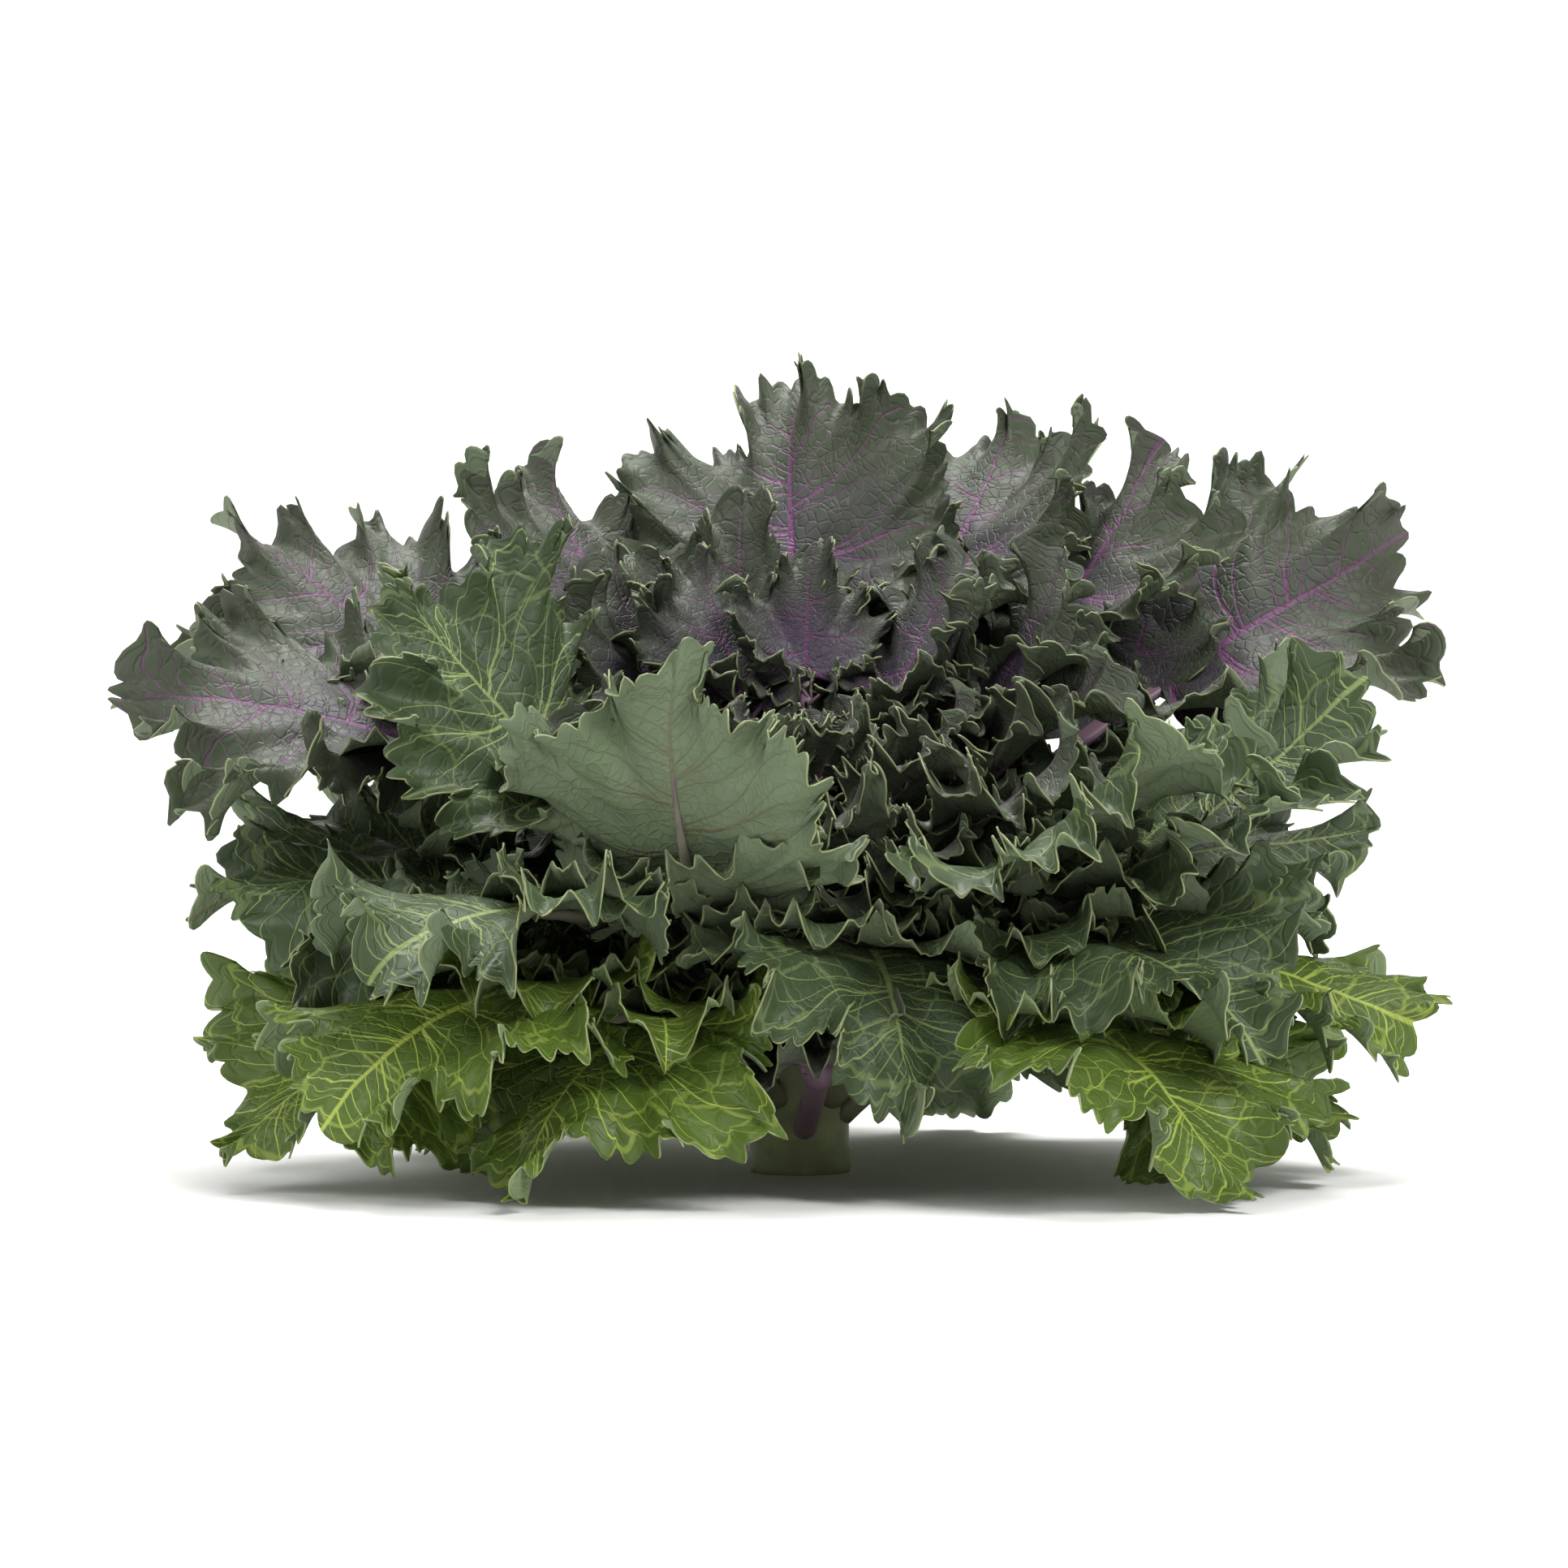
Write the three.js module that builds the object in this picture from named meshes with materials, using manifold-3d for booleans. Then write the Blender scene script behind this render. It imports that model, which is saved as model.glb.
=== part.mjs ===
// A head of purple kale, cut at the foot of its stem and set down on the cut end.
// Millimetres, +Z up. The crown leans a little towards -Y, the side it is mostly seen from.
// Azimuth is counted from +X (right) towards +Y (back). Angles are in degrees.

import * as THREE from 'three';
import { mergeVertices } from 'three/addons/utils/BufferGeometryUtils.js';
import Module from 'manifold-3d';

// Stem
const STEM = { name: 'stem', colour: 0x8d9a63, roughness: 0.6 };
const STEM_HEIGHT = 84;
const STEM_FOOT_RADIUS = 12.5;
const STEM_TOP_RADIUS = 7;
const STEM_SIDES = 18;
const STEM_SCARS = 4;
const SCAR_SWELL = 0.9;

// Leaf blades and their stalks
const LEAF_GAP = 2.6;
const BLADE_THICKNESS = 0.9;
const FAN_HALF_ANGLE = 108;
const FAN_CENTRE_SHARE = 0.42;
const FAN_HALF_WIDTH_SHARE = 0.66;
const LOBE_DEPTH = 0.09;
const WAVE_COUNT = 3;
const WAVE_DRIFT = 20;
const WAVE_DRIFT_TURNS = 1.7;
const FIRST_BLADE_ROW = 0.22;
const STALK_FLATNESS = 0.62;
const STALK_TAPER = 0.25;
const STALK_EDGE = 0.45;
const MIDRIB_SHARE = 0.55;

// Whorls from the oldest leaves to the youngest. Each leaf is [azimuth, height of its foot on the stem,
// rise at the foot, rise at the tip, length of the stalk, length of the blade, roll of the blade].
const WHORLS = [
  {
    name: 'low_leaf', colour: 0x4c5f24, roughness: 0.55, stalkWidth: 8, cup: -0.004, wave: 7.5,
    lobePairs: 2.5, columns: 10, stalkRows: 2, bladeRows: 3,
    leaves: [
      [352, 28, 38, -28, 96, 68, 8],
      [342, 18, 42, -48, 98, 66, 22],
      [314, 22, 37, -46, 108, 70, -6],
      [236, 22, 40, -58, 80, 74, 12],
      [222, 16, 46, -34, 102, 72, -6],
      [204, 24, 34, -40, 100, 68, -24],
      [170, 22, 48, -36, 92, 70, -30],
      [142, 26, 40, -58, 86, 68, 22],
      [106, 22, 42, -36, 90, 70, -12],
      [70, 24, 40, -54, 90, 70, 0],
      [32, 22, 42, -42, 94, 70, 16],
    ],
  },
  {
    name: 'spread_leaf', colour: 0x4f5f38, roughness: 0.52, stalkWidth: 7.5, cup: 0.002, wave: 7.5,
    lobePairs: 3, columns: 12, stalkRows: 2, bladeRows: 3,
    leaves: [
      [338, 36, 25, 42, 85, 68, 34],
      [314, 40, 37, 22, 69, 68, 18],
      [286, 36, 48, -56, 73, 68, -15],
      [250, 32, 23, 70, 73, 64, -7],
      [226, 28, 50, -18, 90, 68, 2],
      [200, 46, 47, 50, 70, 64, -66],
      [192, 36, 44, -16, 80, 74, -36],
      [160, 38, 48, -16, 96, 64, -16],
      [124, 40, 42, -28, 88, 70, -4],
      [92, 36, 50, -18, 98, 72, 2],
      [54, 36, 52, -30, 80, 72, 0],
      [12, 36, 48, -12, 86, 66, 24],
      [320, 30, 44, -26, 88, 66, 16],
    ],
  },
  {
    name: 'outer_leaf', colour: 0x566450, roughness: 0.5, stalkWidth: 7, cup: 0.004, wave: 7,
    lobePairs: 3, columns: 12, stalkRows: 2, bladeRows: 3,
    leaves: [
      [16, 52, 48, 24, 112, 72, 51],
      [182, 56, 47, -2, 109, 70, -36],
      [128, 54, 52, 54, 92, 66, 3],
      [154, 48, 44, 30, 120, 66, -34],
      [92, 58, 61, 62, 95, 68, -18],
      [60, 62, 58, 48, 101, 62, -7],
      [32, 58, 54, 46, 98, 58, 8],
      [106, 48, 60, -12, 92, 60, -6],
      [74, 50, 70, -4, 88, 68, 6],
      [44, 48, 60, -16, 92, 64, -2],
    ],
  },
  {
    name: 'middle_leaf', colour: 0x4d5248, roughness: 0.45, stalkWidth: 6, cup: 0.006, wave: 6,
    lobePairs: 2.5, columns: 10, stalkRows: 2, bladeRows: 3,
    leaves: [
      [44, 68, 66, 54, 52, 50, -18],
      [110, 66, 62, 76, 62, 46, 0],
      [138, 64, 56, 64, 56, 48, -2],
      [12, 68, 52, 56, 54, 46, 12],
      [168, 64, 42, 40, 42, 50, -24],
      [348, 64, 46, 44, 42, 48, 10],
      [208, 64, 52, 28, 30, 42, -42],
      [242, 68, 42, 36, 36, 36, -4],
      [316, 64, 32, 22, 50, 38, 6],
      [298, 54, 36, 14, 30, 42, 16],
      [270, 60, 44, 10, 40, 34, 8],
    ],
  },
  {
    name: 'inner_leaf', colour: 0x47424a, roughness: 0.45, stalkWidth: 4.5, cup: 0.012, wave: 4.5,
    lobePairs: 2, columns: 8, stalkRows: 1, bladeRows: 3,
    leaves: [
      [32, 86, 62, 60, 40, 36, 0],
      [86, 80, 74, 74, 48, 30, 14],
      [126, 80, 72, 60, 44, 38, -16],
      [170, 80, 70, 46, 20, 30, -4],
      [196, 78, 58, 28, 32, 28, -10],
      [246, 78, 68, 6, 6, 24, 28],
      [282, 70, 44, 14, 10, 24, -2],
      [318, 74, 54, 34, 20, 30, 2],
      [352, 76, 68, 34, 24, 30, -10],
    ],
  },
];

// The heart: the youngest leaves, grown together round the stem's tip. Sizes and slopes that are pairs
// run from its oldest leaf to its youngest.
const GOLDEN_ANGLE = 137.5;
const HEART_GAP = 0.4;
const HEART = {
  name: 'heart', colour: 0x4a3a4c, roughness: 0.45, coreRadius: 6.5, count: 6, firstAzimuth: 300,
  rise: [52, 84], end: [40, 80], stalk: [9, 3], blade: [25, 13], stalkWidth: 3, cup: 0.03, wave: 2.6,
  lobePairs: 1.5, columns: 6, stalkRows: 1, bladeRows: 2,
};

// The side shoot: a small leafy stem low on the front
const SHOOT_AZIMUTH = 275;
const SHOOT_HEIGHT = 13;
const SHOOT_RISE = 22;
const SHOOT_REACH = 46;
const SHOOT_RADIUS = 3;
const SHOOT = {
  name: 'side_shoot', colour: 0x5a5560, roughness: 0.5, coreRadius: 5, count: 6, firstAzimuth: 250,
  rise: [18, 70], end: [-6, 60], stalk: [9, 4], blade: [27, 16], stalkWidth: 3, cup: 0.02, wave: 2.4,
  lobePairs: 1.5, columns: 6, stalkRows: 1, bladeRows: 2,
};
const BUD_SIDES = 10;
const BUD_RINGS = 6;
const BUD_STEP = 0.7;
const SHOOT_SEGMENTS = 4;

const wasm = await Module();
wasm.setup();

const sin = (angle) => Math.sin(THREE.MathUtils.degToRad(angle));
const cos = (angle) => Math.cos(THREE.MathUtils.degToRad(angle));
const { lerp } = THREE.MathUtils;

function direction(azimuth, elevation) {
  return new THREE.Vector3(cos(elevation) * cos(azimuth), cos(elevation) * sin(azimuth), sin(elevation));
}

function stemRadius(height) {
  return lerp(STEM_FOOT_RADIUS, STEM_TOP_RADIUS, (height / STEM_HEIGHT) ** 2);
}

// The place just off the stem's side where a stalk starts.
function stemSide(azimuth, height) {
  return direction(azimuth, 0).multiplyScalar(stemRadius(height) + LEAF_GAP).setZ(height);
}

// The distance from the foot of the blade to its margin, at an angle from the midrib: an ellipse
// with the foot near its lower end, scalloped into lobes.
function marginDistance({ blade, lobePairs }, angle) {
  const centre = FAN_CENTRE_SHARE * blade;
  const along = blade - centre;
  const across = FAN_HALF_WIDTH_SHARE * blade;
  const a = (sin(angle) / across) ** 2 + (cos(angle) / along) ** 2;
  const b = (-2 * centre * cos(angle)) / along ** 2;
  const c = (centre / along) ** 2 - 1;
  const ellipse = (-b + Math.sqrt(b * b - 4 * a * c)) / (2 * a);
  const lobe = cos((angle * lobePairs * 360) / FAN_HALF_ANGLE);
  return ellipse * (1 + LOBE_DEPTH * lobe);
}

// How far the margin's waves lift the blade off its smooth form, at a share of the way to the margin.
function waveHeight(leaf, share, angle) {
  const turns = (WAVE_COUNT * 180) / FAN_HALF_ANGLE;
  const drift = WAVE_DRIFT * sin(WAVE_DRIFT_TURNS * angle + 2 * leaf.phase);
  return leaf.wave * share ** 2 * sin(turns * angle + leaf.phase + drift);
}

// The leaf's own frame at a share of the way along its midrib, which is a quadratic curve.
function midribFrame(leaf, share) {
  const centre = new THREE.QuadraticBezierCurve3(leaf.foot, leaf.knee, leaf.tip).getPoint(share);
  const along = leaf.start.clone().lerp(leaf.finish, share).normalize();
  const up = along.clone().cross(direction(leaf.azimuth + 90, 0)).normalize();
  const side = up.clone().cross(along);
  const roll = leaf.roll * THREE.MathUtils.clamp(share, 0, 1);
  return {
    centre,
    side: side.clone().multiplyScalar(cos(roll)).addScaledVector(up, sin(roll)),
    up: up.clone().multiplyScalar(cos(roll)).addScaledVector(side, -sin(roll)),
  };
}

// A point of the leaf's middle surface, from its place across and along the flat leaf.
function bentPoint(leaf, across, along, wave) {
  const frame = midribFrame(leaf, (leaf.stalk + along) / leaf.length);
  const bend = leaf.cup * across;
  return frame.centre
    .addScaledVector(frame.side, Math.sin(bend) / leaf.cup)
    .addScaledVector(frame.up, (1 - Math.cos(bend)) / leaf.cup + wave);
}

// Rows of points across the leaf, from the foot of its stalk to the margin of its blade, each with
// the leaf's thickness above and below it.
function leafRows(leaf) {
  const shares = Array.from({ length: leaf.columns + 1 }, (_, column) => (2 * column) / leaf.columns - 1);
  const halfStalk = leaf.stalkWidth / 2;
  const rows = [];
  for (let row = 0; row <= leaf.stalkRows; row += 1) {
    const along = leaf.stalk * (row / leaf.stalkRows - 1);
    const halfWidth = halfStalk * (1 - (STALK_TAPER * row) / leaf.stalkRows);
    rows.push(shares.map((share) => {
      const round = halfWidth * STALK_FLATNESS * Math.sqrt(1 - share * share);
      const point = bentPoint(leaf, share * halfWidth, along, 0);
      return { point, above: STALK_EDGE + round / 2, below: STALK_EDGE + round };
    }));
  }
  for (let row = 0; row < leaf.bladeRows; row += 1) {
    const reach = lerp(FIRST_BLADE_ROW, 1, row / (leaf.bladeRows - 1));
    rows.push(shares.map((share) => {
      const angle = share * FAN_HALF_ANGLE;
      const distance = reach * marginDistance(leaf, angle);
      const wave = waveHeight(leaf, reach, angle);
      const point = bentPoint(leaf, distance * sin(angle), distance * cos(angle), wave);
      const midrib = share === 0 ? halfStalk * MIDRIB_SHARE * (1 - reach) : 0;
      return { point, above: BLADE_THICKNESS / 2, below: BLADE_THICKNESS / 2 + midrib };
    }));
  }
  return rows;
}

// A closed thin solid over rows of points, with both faces split into triangles alike.
function slabGeometry(rows) {
  const last = rows.length - 1;
  const columns = rows[0].length - 1;
  const { clamp } = THREE.MathUtils;
  const pointAt = (row, column) => rows[clamp(row, 0, last)][clamp(column, 0, columns)].point;
  const normalAt = (row, column) => {
    const along = pointAt(row + 1, column).clone().sub(pointAt(row - 1, column));
    const across = pointAt(row, column + 1).clone().sub(pointAt(row, column - 1));
    return along.cross(across).normalize();
  };
  const positions = rows.flatMap((row, number) => row.flatMap(({ point, above, below }, column) => {
    const normal = normalAt(number, column);
    const upper = point.clone().addScaledVector(normal, above);
    const lower = point.clone().addScaledVector(normal, -below);
    return [...upper, ...lower];
  }));
  const top = (row, column) => 2 * (row * (columns + 1) + column);
  const bottom = (row, column) => top(row, column) + 1;
  const index = [];
  const quad = (a, b, c, d) => index.push(a, b, c, a, c, d);
  for (let row = 0; row < last; row += 1) {
    for (let column = 0; column < columns; column += 1) {
      quad(top(row, column), top(row + 1, column), top(row + 1, column + 1), top(row, column + 1));
      const far = bottom(row + 1, column + 1);
      quad(bottom(row, column), bottom(row, column + 1), far, bottom(row + 1, column));
    }
    quad(top(row, 0), bottom(row, 0), bottom(row + 1, 0), top(row + 1, 0));
    quad(top(row + 1, columns), bottom(row + 1, columns), bottom(row, columns), top(row, columns));
  }
  for (let column = 0; column < columns; column += 1) {
    quad(top(0, column + 1), bottom(0, column + 1), bottom(0, column), top(0, column));
    quad(top(last, column), bottom(last, column), bottom(last, column + 1), top(last, column + 1));
  }
  const geometry = new THREE.BufferGeometry();
  geometry.setAttribute('position', new THREE.Float32BufferAttribute(positions, 3));
  geometry.setIndex(index);
  return geometry;
}

// Adds to a leaf's sizes the curve of its midrib, from its foot at the given start and end slopes.
function laidOut(leaf, azimuth, foot, rise, end) {
  const length = leaf.stalk + leaf.blade;
  const start = direction(azimuth, rise);
  const finish = direction(azimuth, end);
  const knee = foot.clone().addScaledVector(start, length / 2);
  const tip = knee.clone().addScaledVector(finish, length / 2);
  return { ...leaf, azimuth, length, start, finish, foot, knee, tip };
}

function whorlLeaf(whorl, [azimuth, height, rise, end, stalk, blade, roll], number) {
  const sizes = { ...whorl, stalk, blade, roll, phase: GOLDEN_ANGLE * number };
  return laidOut(sizes, azimuth, stemSide(azimuth, height), rise, end);
}

function solidOf(geometry) {
  const bare = geometry.clone();
  bare.deleteAttribute('normal');
  bare.deleteAttribute('uv');
  const merged = mergeVertices(bare);
  const vertProperties = new Float32Array(merged.attributes.position.array);
  const triVerts = new Uint32Array(merged.index.array);
  return new wasm.Manifold(new wasm.Mesh({ numProp: 3, vertProperties, triVerts }));
}

// The shape of a solid's largest body, without sealed hollows or loose scraps.
function geometryOf(solid) {
  const [largest] = solid.decompose().sort((a, b) => b.volume() - a.volume());
  const { vertProperties, triVerts } = largest.getMesh();
  const geometry = new THREE.BufferGeometry();
  geometry.setAttribute('position', new THREE.BufferAttribute(vertProperties, 3));
  geometry.setIndex(new THREE.BufferAttribute(triVerts, 1));
  return geometry;
}

// Small leaves in a spiral round a round bud, the oldest first, fused to it and to each other.
function rosetteSolid(rosette, core) {
  const bud = new THREE.SphereGeometry(rosette.coreRadius, BUD_SIDES, BUD_RINGS).translate(...core);
  let solid = solidOf(bud);
  for (let number = 0; number < rosette.count; number += 1) {
    const age = number / (rosette.count - 1);
    const azimuth = rosette.firstAzimuth + GOLDEN_ANGLE * number;
    const foot = core.clone().setZ(core.z + BUD_STEP * number);
    const stalk = lerp(...rosette.stalk, age);
    const blade = lerp(...rosette.blade, age);
    const sizes = { ...rosette, stalk, blade, roll: 0, phase: GOLDEN_ANGLE * number };
    const leaf = laidOut(sizes, azimuth, foot, lerp(...rosette.rise, age), lerp(...rosette.end, age));
    solid = solid.add(solidOf(slabGeometry(leafRows(leaf))));
  }
  return solid;
}

function namedMesh({ name, colour, roughness }, geometry) {
  const material = new THREE.MeshStandardMaterial({ color: colour, roughness, metalness: 0 });
  const mesh = new THREE.Mesh(geometry, material);
  mesh.name = name;
  return mesh;
}

function stemMesh() {
  const profile = [new THREE.Vector2(0, 0)];
  const steps = 2 * STEM_SCARS;
  for (let step = 0; step <= steps; step += 1) {
    const height = (STEM_HEIGHT * step) / steps;
    const swell = step % 2 === 1 ? SCAR_SWELL : 0;
    profile.push(new THREE.Vector2(stemRadius(height) + swell, height));
  }
  profile.push(new THREE.Vector2(0, STEM_HEIGHT));
  return namedMesh(STEM, new THREE.LatheGeometry(profile, STEM_SIDES).rotateX(Math.PI / 2));
}

function heartMesh() {
  const core = new THREE.Vector3(0, 0, STEM_HEIGHT + HEART_GAP + HEART.coreRadius);
  return namedMesh(HEART, geometryOf(rosetteSolid(HEART, core)));
}

function shootMesh() {
  const start = stemSide(SHOOT_AZIMUTH, SHOOT_HEIGHT);
  const core = start.clone().addScaledVector(direction(SHOOT_AZIMUTH, SHOOT_RISE), SHOOT_REACH);
  const section = new THREE.Shape().absarc(0, 0, SHOOT_RADIUS, 0, 2 * Math.PI);
  const stalk = new THREE.ExtrudeGeometry(section, {
    curveSegments: SHOOT_SEGMENTS,
    steps: 1,
    bevelEnabled: false,
    extrudePath: new THREE.LineCurve3(start, core),
  });
  return namedMesh(SHOOT, geometryOf(rosetteSolid(SHOOT, core).add(solidOf(stalk))));
}

// The head stands with its lowest point at Z = 0 and its box centred on the Z axis.
const head = new THREE.Group();
head.add(stemMesh(), heartMesh(), shootMesh());
WHORLS.forEach((whorl) => whorl.leaves.forEach((row, number) => {
  const leaf = whorlLeaf(whorl, row, number);
  head.add(namedMesh({ ...whorl, name: `${whorl.name}_${number + 1}` }, slabGeometry(leafRows(leaf))));
}));
const box = new THREE.Box3().setFromObject(head);
const centre = box.getCenter(new THREE.Vector3());
head.position.set(-centre.x, -centre.y, -box.min.z);

const kale = new THREE.Group();
kale.add(head);

export default kale;
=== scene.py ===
from math import asin, atan2, cos, degrees, exp, hypot, pi, radians, sin, sqrt, tanh, tau

import bmesh
import bpy
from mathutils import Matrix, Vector, noise


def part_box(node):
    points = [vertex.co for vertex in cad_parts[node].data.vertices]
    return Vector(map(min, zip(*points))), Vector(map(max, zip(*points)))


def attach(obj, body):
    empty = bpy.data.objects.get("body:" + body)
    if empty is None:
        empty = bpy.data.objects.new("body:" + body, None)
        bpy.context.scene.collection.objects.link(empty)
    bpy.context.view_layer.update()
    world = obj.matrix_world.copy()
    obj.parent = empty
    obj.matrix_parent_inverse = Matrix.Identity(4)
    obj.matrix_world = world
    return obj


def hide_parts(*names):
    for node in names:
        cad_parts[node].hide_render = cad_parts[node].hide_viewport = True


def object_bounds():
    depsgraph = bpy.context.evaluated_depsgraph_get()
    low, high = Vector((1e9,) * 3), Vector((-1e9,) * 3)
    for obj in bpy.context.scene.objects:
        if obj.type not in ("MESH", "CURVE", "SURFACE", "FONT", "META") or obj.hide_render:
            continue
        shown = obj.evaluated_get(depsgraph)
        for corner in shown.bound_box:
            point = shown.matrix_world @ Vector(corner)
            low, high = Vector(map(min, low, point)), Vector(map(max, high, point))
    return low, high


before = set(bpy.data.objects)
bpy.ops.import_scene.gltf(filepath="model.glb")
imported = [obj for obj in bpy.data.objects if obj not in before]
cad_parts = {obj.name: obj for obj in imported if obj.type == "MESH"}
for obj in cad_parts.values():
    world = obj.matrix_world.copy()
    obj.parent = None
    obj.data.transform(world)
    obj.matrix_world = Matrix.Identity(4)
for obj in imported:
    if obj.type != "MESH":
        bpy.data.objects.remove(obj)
CAD_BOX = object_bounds()

bl_info = {
    "name": "Purple kale bunch",
    "version": (1, 0, 0),
    "blender": (4, 5, 0),
    "location": "View3D > Sidebar > Kale",
    "description": "Builds a cut bunch of purple curly kale and a plain stage for it",
    "category": "Add Mesh",
}

# The bunch is laid out in millimetres from the middle of the stem's cut end, which the frame places.
MM = 0.001
STEM_LOW, STEM_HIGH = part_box("stem")
STEM_FOOT = Vector(((STEM_LOW.x + STEM_HIGH.x) / 2, (STEM_LOW.y + STEM_HIGH.y) / 2, STEM_LOW.z))

# The stem: a short stump that narrows upwards, with the scars of leaves that fell.
STEM_HEIGHT = 84
STEM_FOOT_RADIUS = 12.5
STEM_TOP_RADIUS = 7
STEM_KNOBS = 0.35
STEM_KNOB_TURNS = 3
STEM_KNOB_HEIGHT = 12
STEM_SIDES = 64
STEM_RINGS = 60
SCAR_COUNT = 16
SCAR_FIRST_HEIGHT = 4
SCAR_LAST_HEIGHT = 62
SCAR_HALF_WIDTH = 4.5
SCAR_HALF_HEIGHT = 1.9
SCAR_SWELL = 1.1
SCAR_RIDGE = 0.45
GOLDEN_ANGLE = radians(137.5)

# The plan of a leaf: a stalk, then a fan-shaped blade round the end of it.
LEAF_GAP = 2.6
FLOOR_GAP = 1.2
FLOOR_BEND = 7
FAN_HALF_ANGLE = radians(108)
FAN_CENTRE_SHARE = 0.42
FAN_HALF_WIDTH_SHARE = 0.66
LOBE_DEPTH = 0.09
WAVE_TURNS = 5
WAVE_DRIFT = radians(20)
WAVE_DRIFT_TURNS = 1.7
FOOT_SHARE = 0.03
MARGIN_CROWDING = 1.45
FULL_BLADE = 70
SMALL_BLADE_POWER = 0.7
SEED_STEPS = (7.3, 31, 10)

# The frill: past a share of the way out the blade curls up and down by turns, crimped and toothed.
EDGE_START = 0.7
EDGE_STRETCH = 1.12
FRILL_PHASE = 1.7
CURL_BIAS = 0.15
CURL_LIMIT = 1.25
SWELL_START = 0.3
SWELL_SHARE = 0.03
CRIMP_PHASE = 3
CRIMP_SHARE = 0.5
CRINKLE_SHARE = 0.3
FOLD_ANGLE = radians(3)
TOOTH_PHASE = 2
TOOTH_SHARE = 0.6
NOTCH = 0.6
LEAST_BEND = 0.01

# How the margin's waves drift and differ round the fan: how much, how quickly, and a row of the noise.
FRILL_DRIFT = (1.8, 1.6, 4)
CRIMP_DRIFT = (2.2, 2.5, 6)
LOBE_DRIFT = (1.6, 3, 1)
TOOTH_DRIFT = (3, 9, 2)
FRILL_UNEVEN = (0.7, 2.3, 7)
CURL_UNEVEN = (0.6, 1.2, 9)
CRIMP_UNEVEN = (0.8, 3, 5)
TOOTH_UNEVEN = (0.7, 4, 3)

# A blade's grid is cut finer in steps towards the margin: number of cuts, and where they start.
MARGIN_CUTS = ((2, 0.5), (1, 0.82))

# Leaflets that stand on a stalk below the blade: share of the stalk above them, side and size.
LEAFLETS = (
    (0.08, 1, 0.5), (0.16, -1, 0.48), (0.27, 1, 0.42),
    (0.38, -1, 0.4), (0.52, 1, 0.36), (0.64, -1, 0.34),
)
LEAFLET_STALK = 4
LEAFLET_LEAST_BLADE = 9
LEAFLET_OFFSET = 0.3
LEAFLET_SPREAD = 0.9
LEAFLET_RISE = 0.3
LEAFLET_DROOP = 25
LEAFLET_STYLE = {
    "stalk_width": 2.2, "cup": 0.02, "wave": 1.5, "lobe_pairs": 1.5, "frill": 0.9, "tooth": 0.1,
    "columns": 18, "rows": 9, "stalk_rows": 6, "waves": (5, 12, 11, 40),
}

# The veins: side ones leave the midrib by turns and fan out, and two pairs branch off each of them.
VEIN_STEP = 15
VEIN_FAN = 0.03
VEIN_BACK = 0.45
VEIN_SWAY = 1.6
VEIN_SWAY_RATE = 0.14
MIDRIB_BREADTH = 1.5
BRANCHES = ((0.2, 0.75, 0.7, 0.5), (0.5, 0.95, 0.4, 0.35))
GROOVE_WIDTH = 1.5
QUILT_WIDTH = 5.5
GROOVE_FADE = 0.8
QUILT_START = 0.15
QUILT_RISE = 0.6
PUCKER_SIZE = 8
PUCKER_SHARE = 0.5

# Places of a leaf's four materials on its piece.
UPPER, UNDER, RIM, STALK = range(4)

# Patterns of the leaf's skin: sizes on the flat leaf, and how far one leaf's stretch is from the next.
VEIN_WIDTHS = (1.2, 0.16)
VEIN_CORE = 0.35
VEIN_FADE_START = 0.15
PATTERN_SPAN = 90
WARP_SIZE = 12
WARP_REACH = 5
BROAD_SIZE = 26
DUST_SIZE = 5
SPOT_SPACING = 15

# Shares of those patterns where a line, a patch or a spot begins and ends.
NET_LINE = (0.012, 0.04)
FINE_NET_LINE = (0.02, 0.12)
FINE_NET_CELLS = 3
BLUSH_DRIFT = 0.5
SHADE_PATCH = (0.35, 0.7)
SHADE_SHARE = 0.55
BLOOM_PATCH = (0.3, 0.75)
BLOOM_LEAST = 0.3
SPOT_EDGE = (0.03, 0.07)
DRIFT_PATCH = (0.3, 0.7)

# Relief and gloss of the skins: weights of the patterns, and their height.
NET_RELIEF = 0.8
VEIN_RELIEF = 1.2
DUST_RELIEF = 0.5
LEAF_BUMP = 0.5
LEAF_BUMP_HEIGHT = 0.35 * MM
PLAIN_BUMP = 0.3
PLAIN_BUMP_HEIGHT = 0.3 * MM
GLOSS_PATCH = (0.25, 0.75)
GLOSS_SPREAD = (-0.06, 0.1)
SKIN_IOR = 1.45
SHEEN_ROUGHNESS = 0.4

# The stalk and the midrib under the blade, in one tapering rod.
STALK_SIDES = 12
STALK_ENTRY = 5
STALK_TAPER = 0.25
STALK_FLATNESS = 0.72
STALK_CHANNEL = 0.3
STALK_CHANNEL_POWER = 6
STALK_SINK_START = 0.2
STALK_SINK_LEAD = 1
STALK_SINK_END = 0.1
MIDRIB_END = 0.62
MIDRIB_TIP = 0.1
MIDRIB_TAPER_POWER = 0.6
ROD_MERGE = 0.01 * MM

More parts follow.
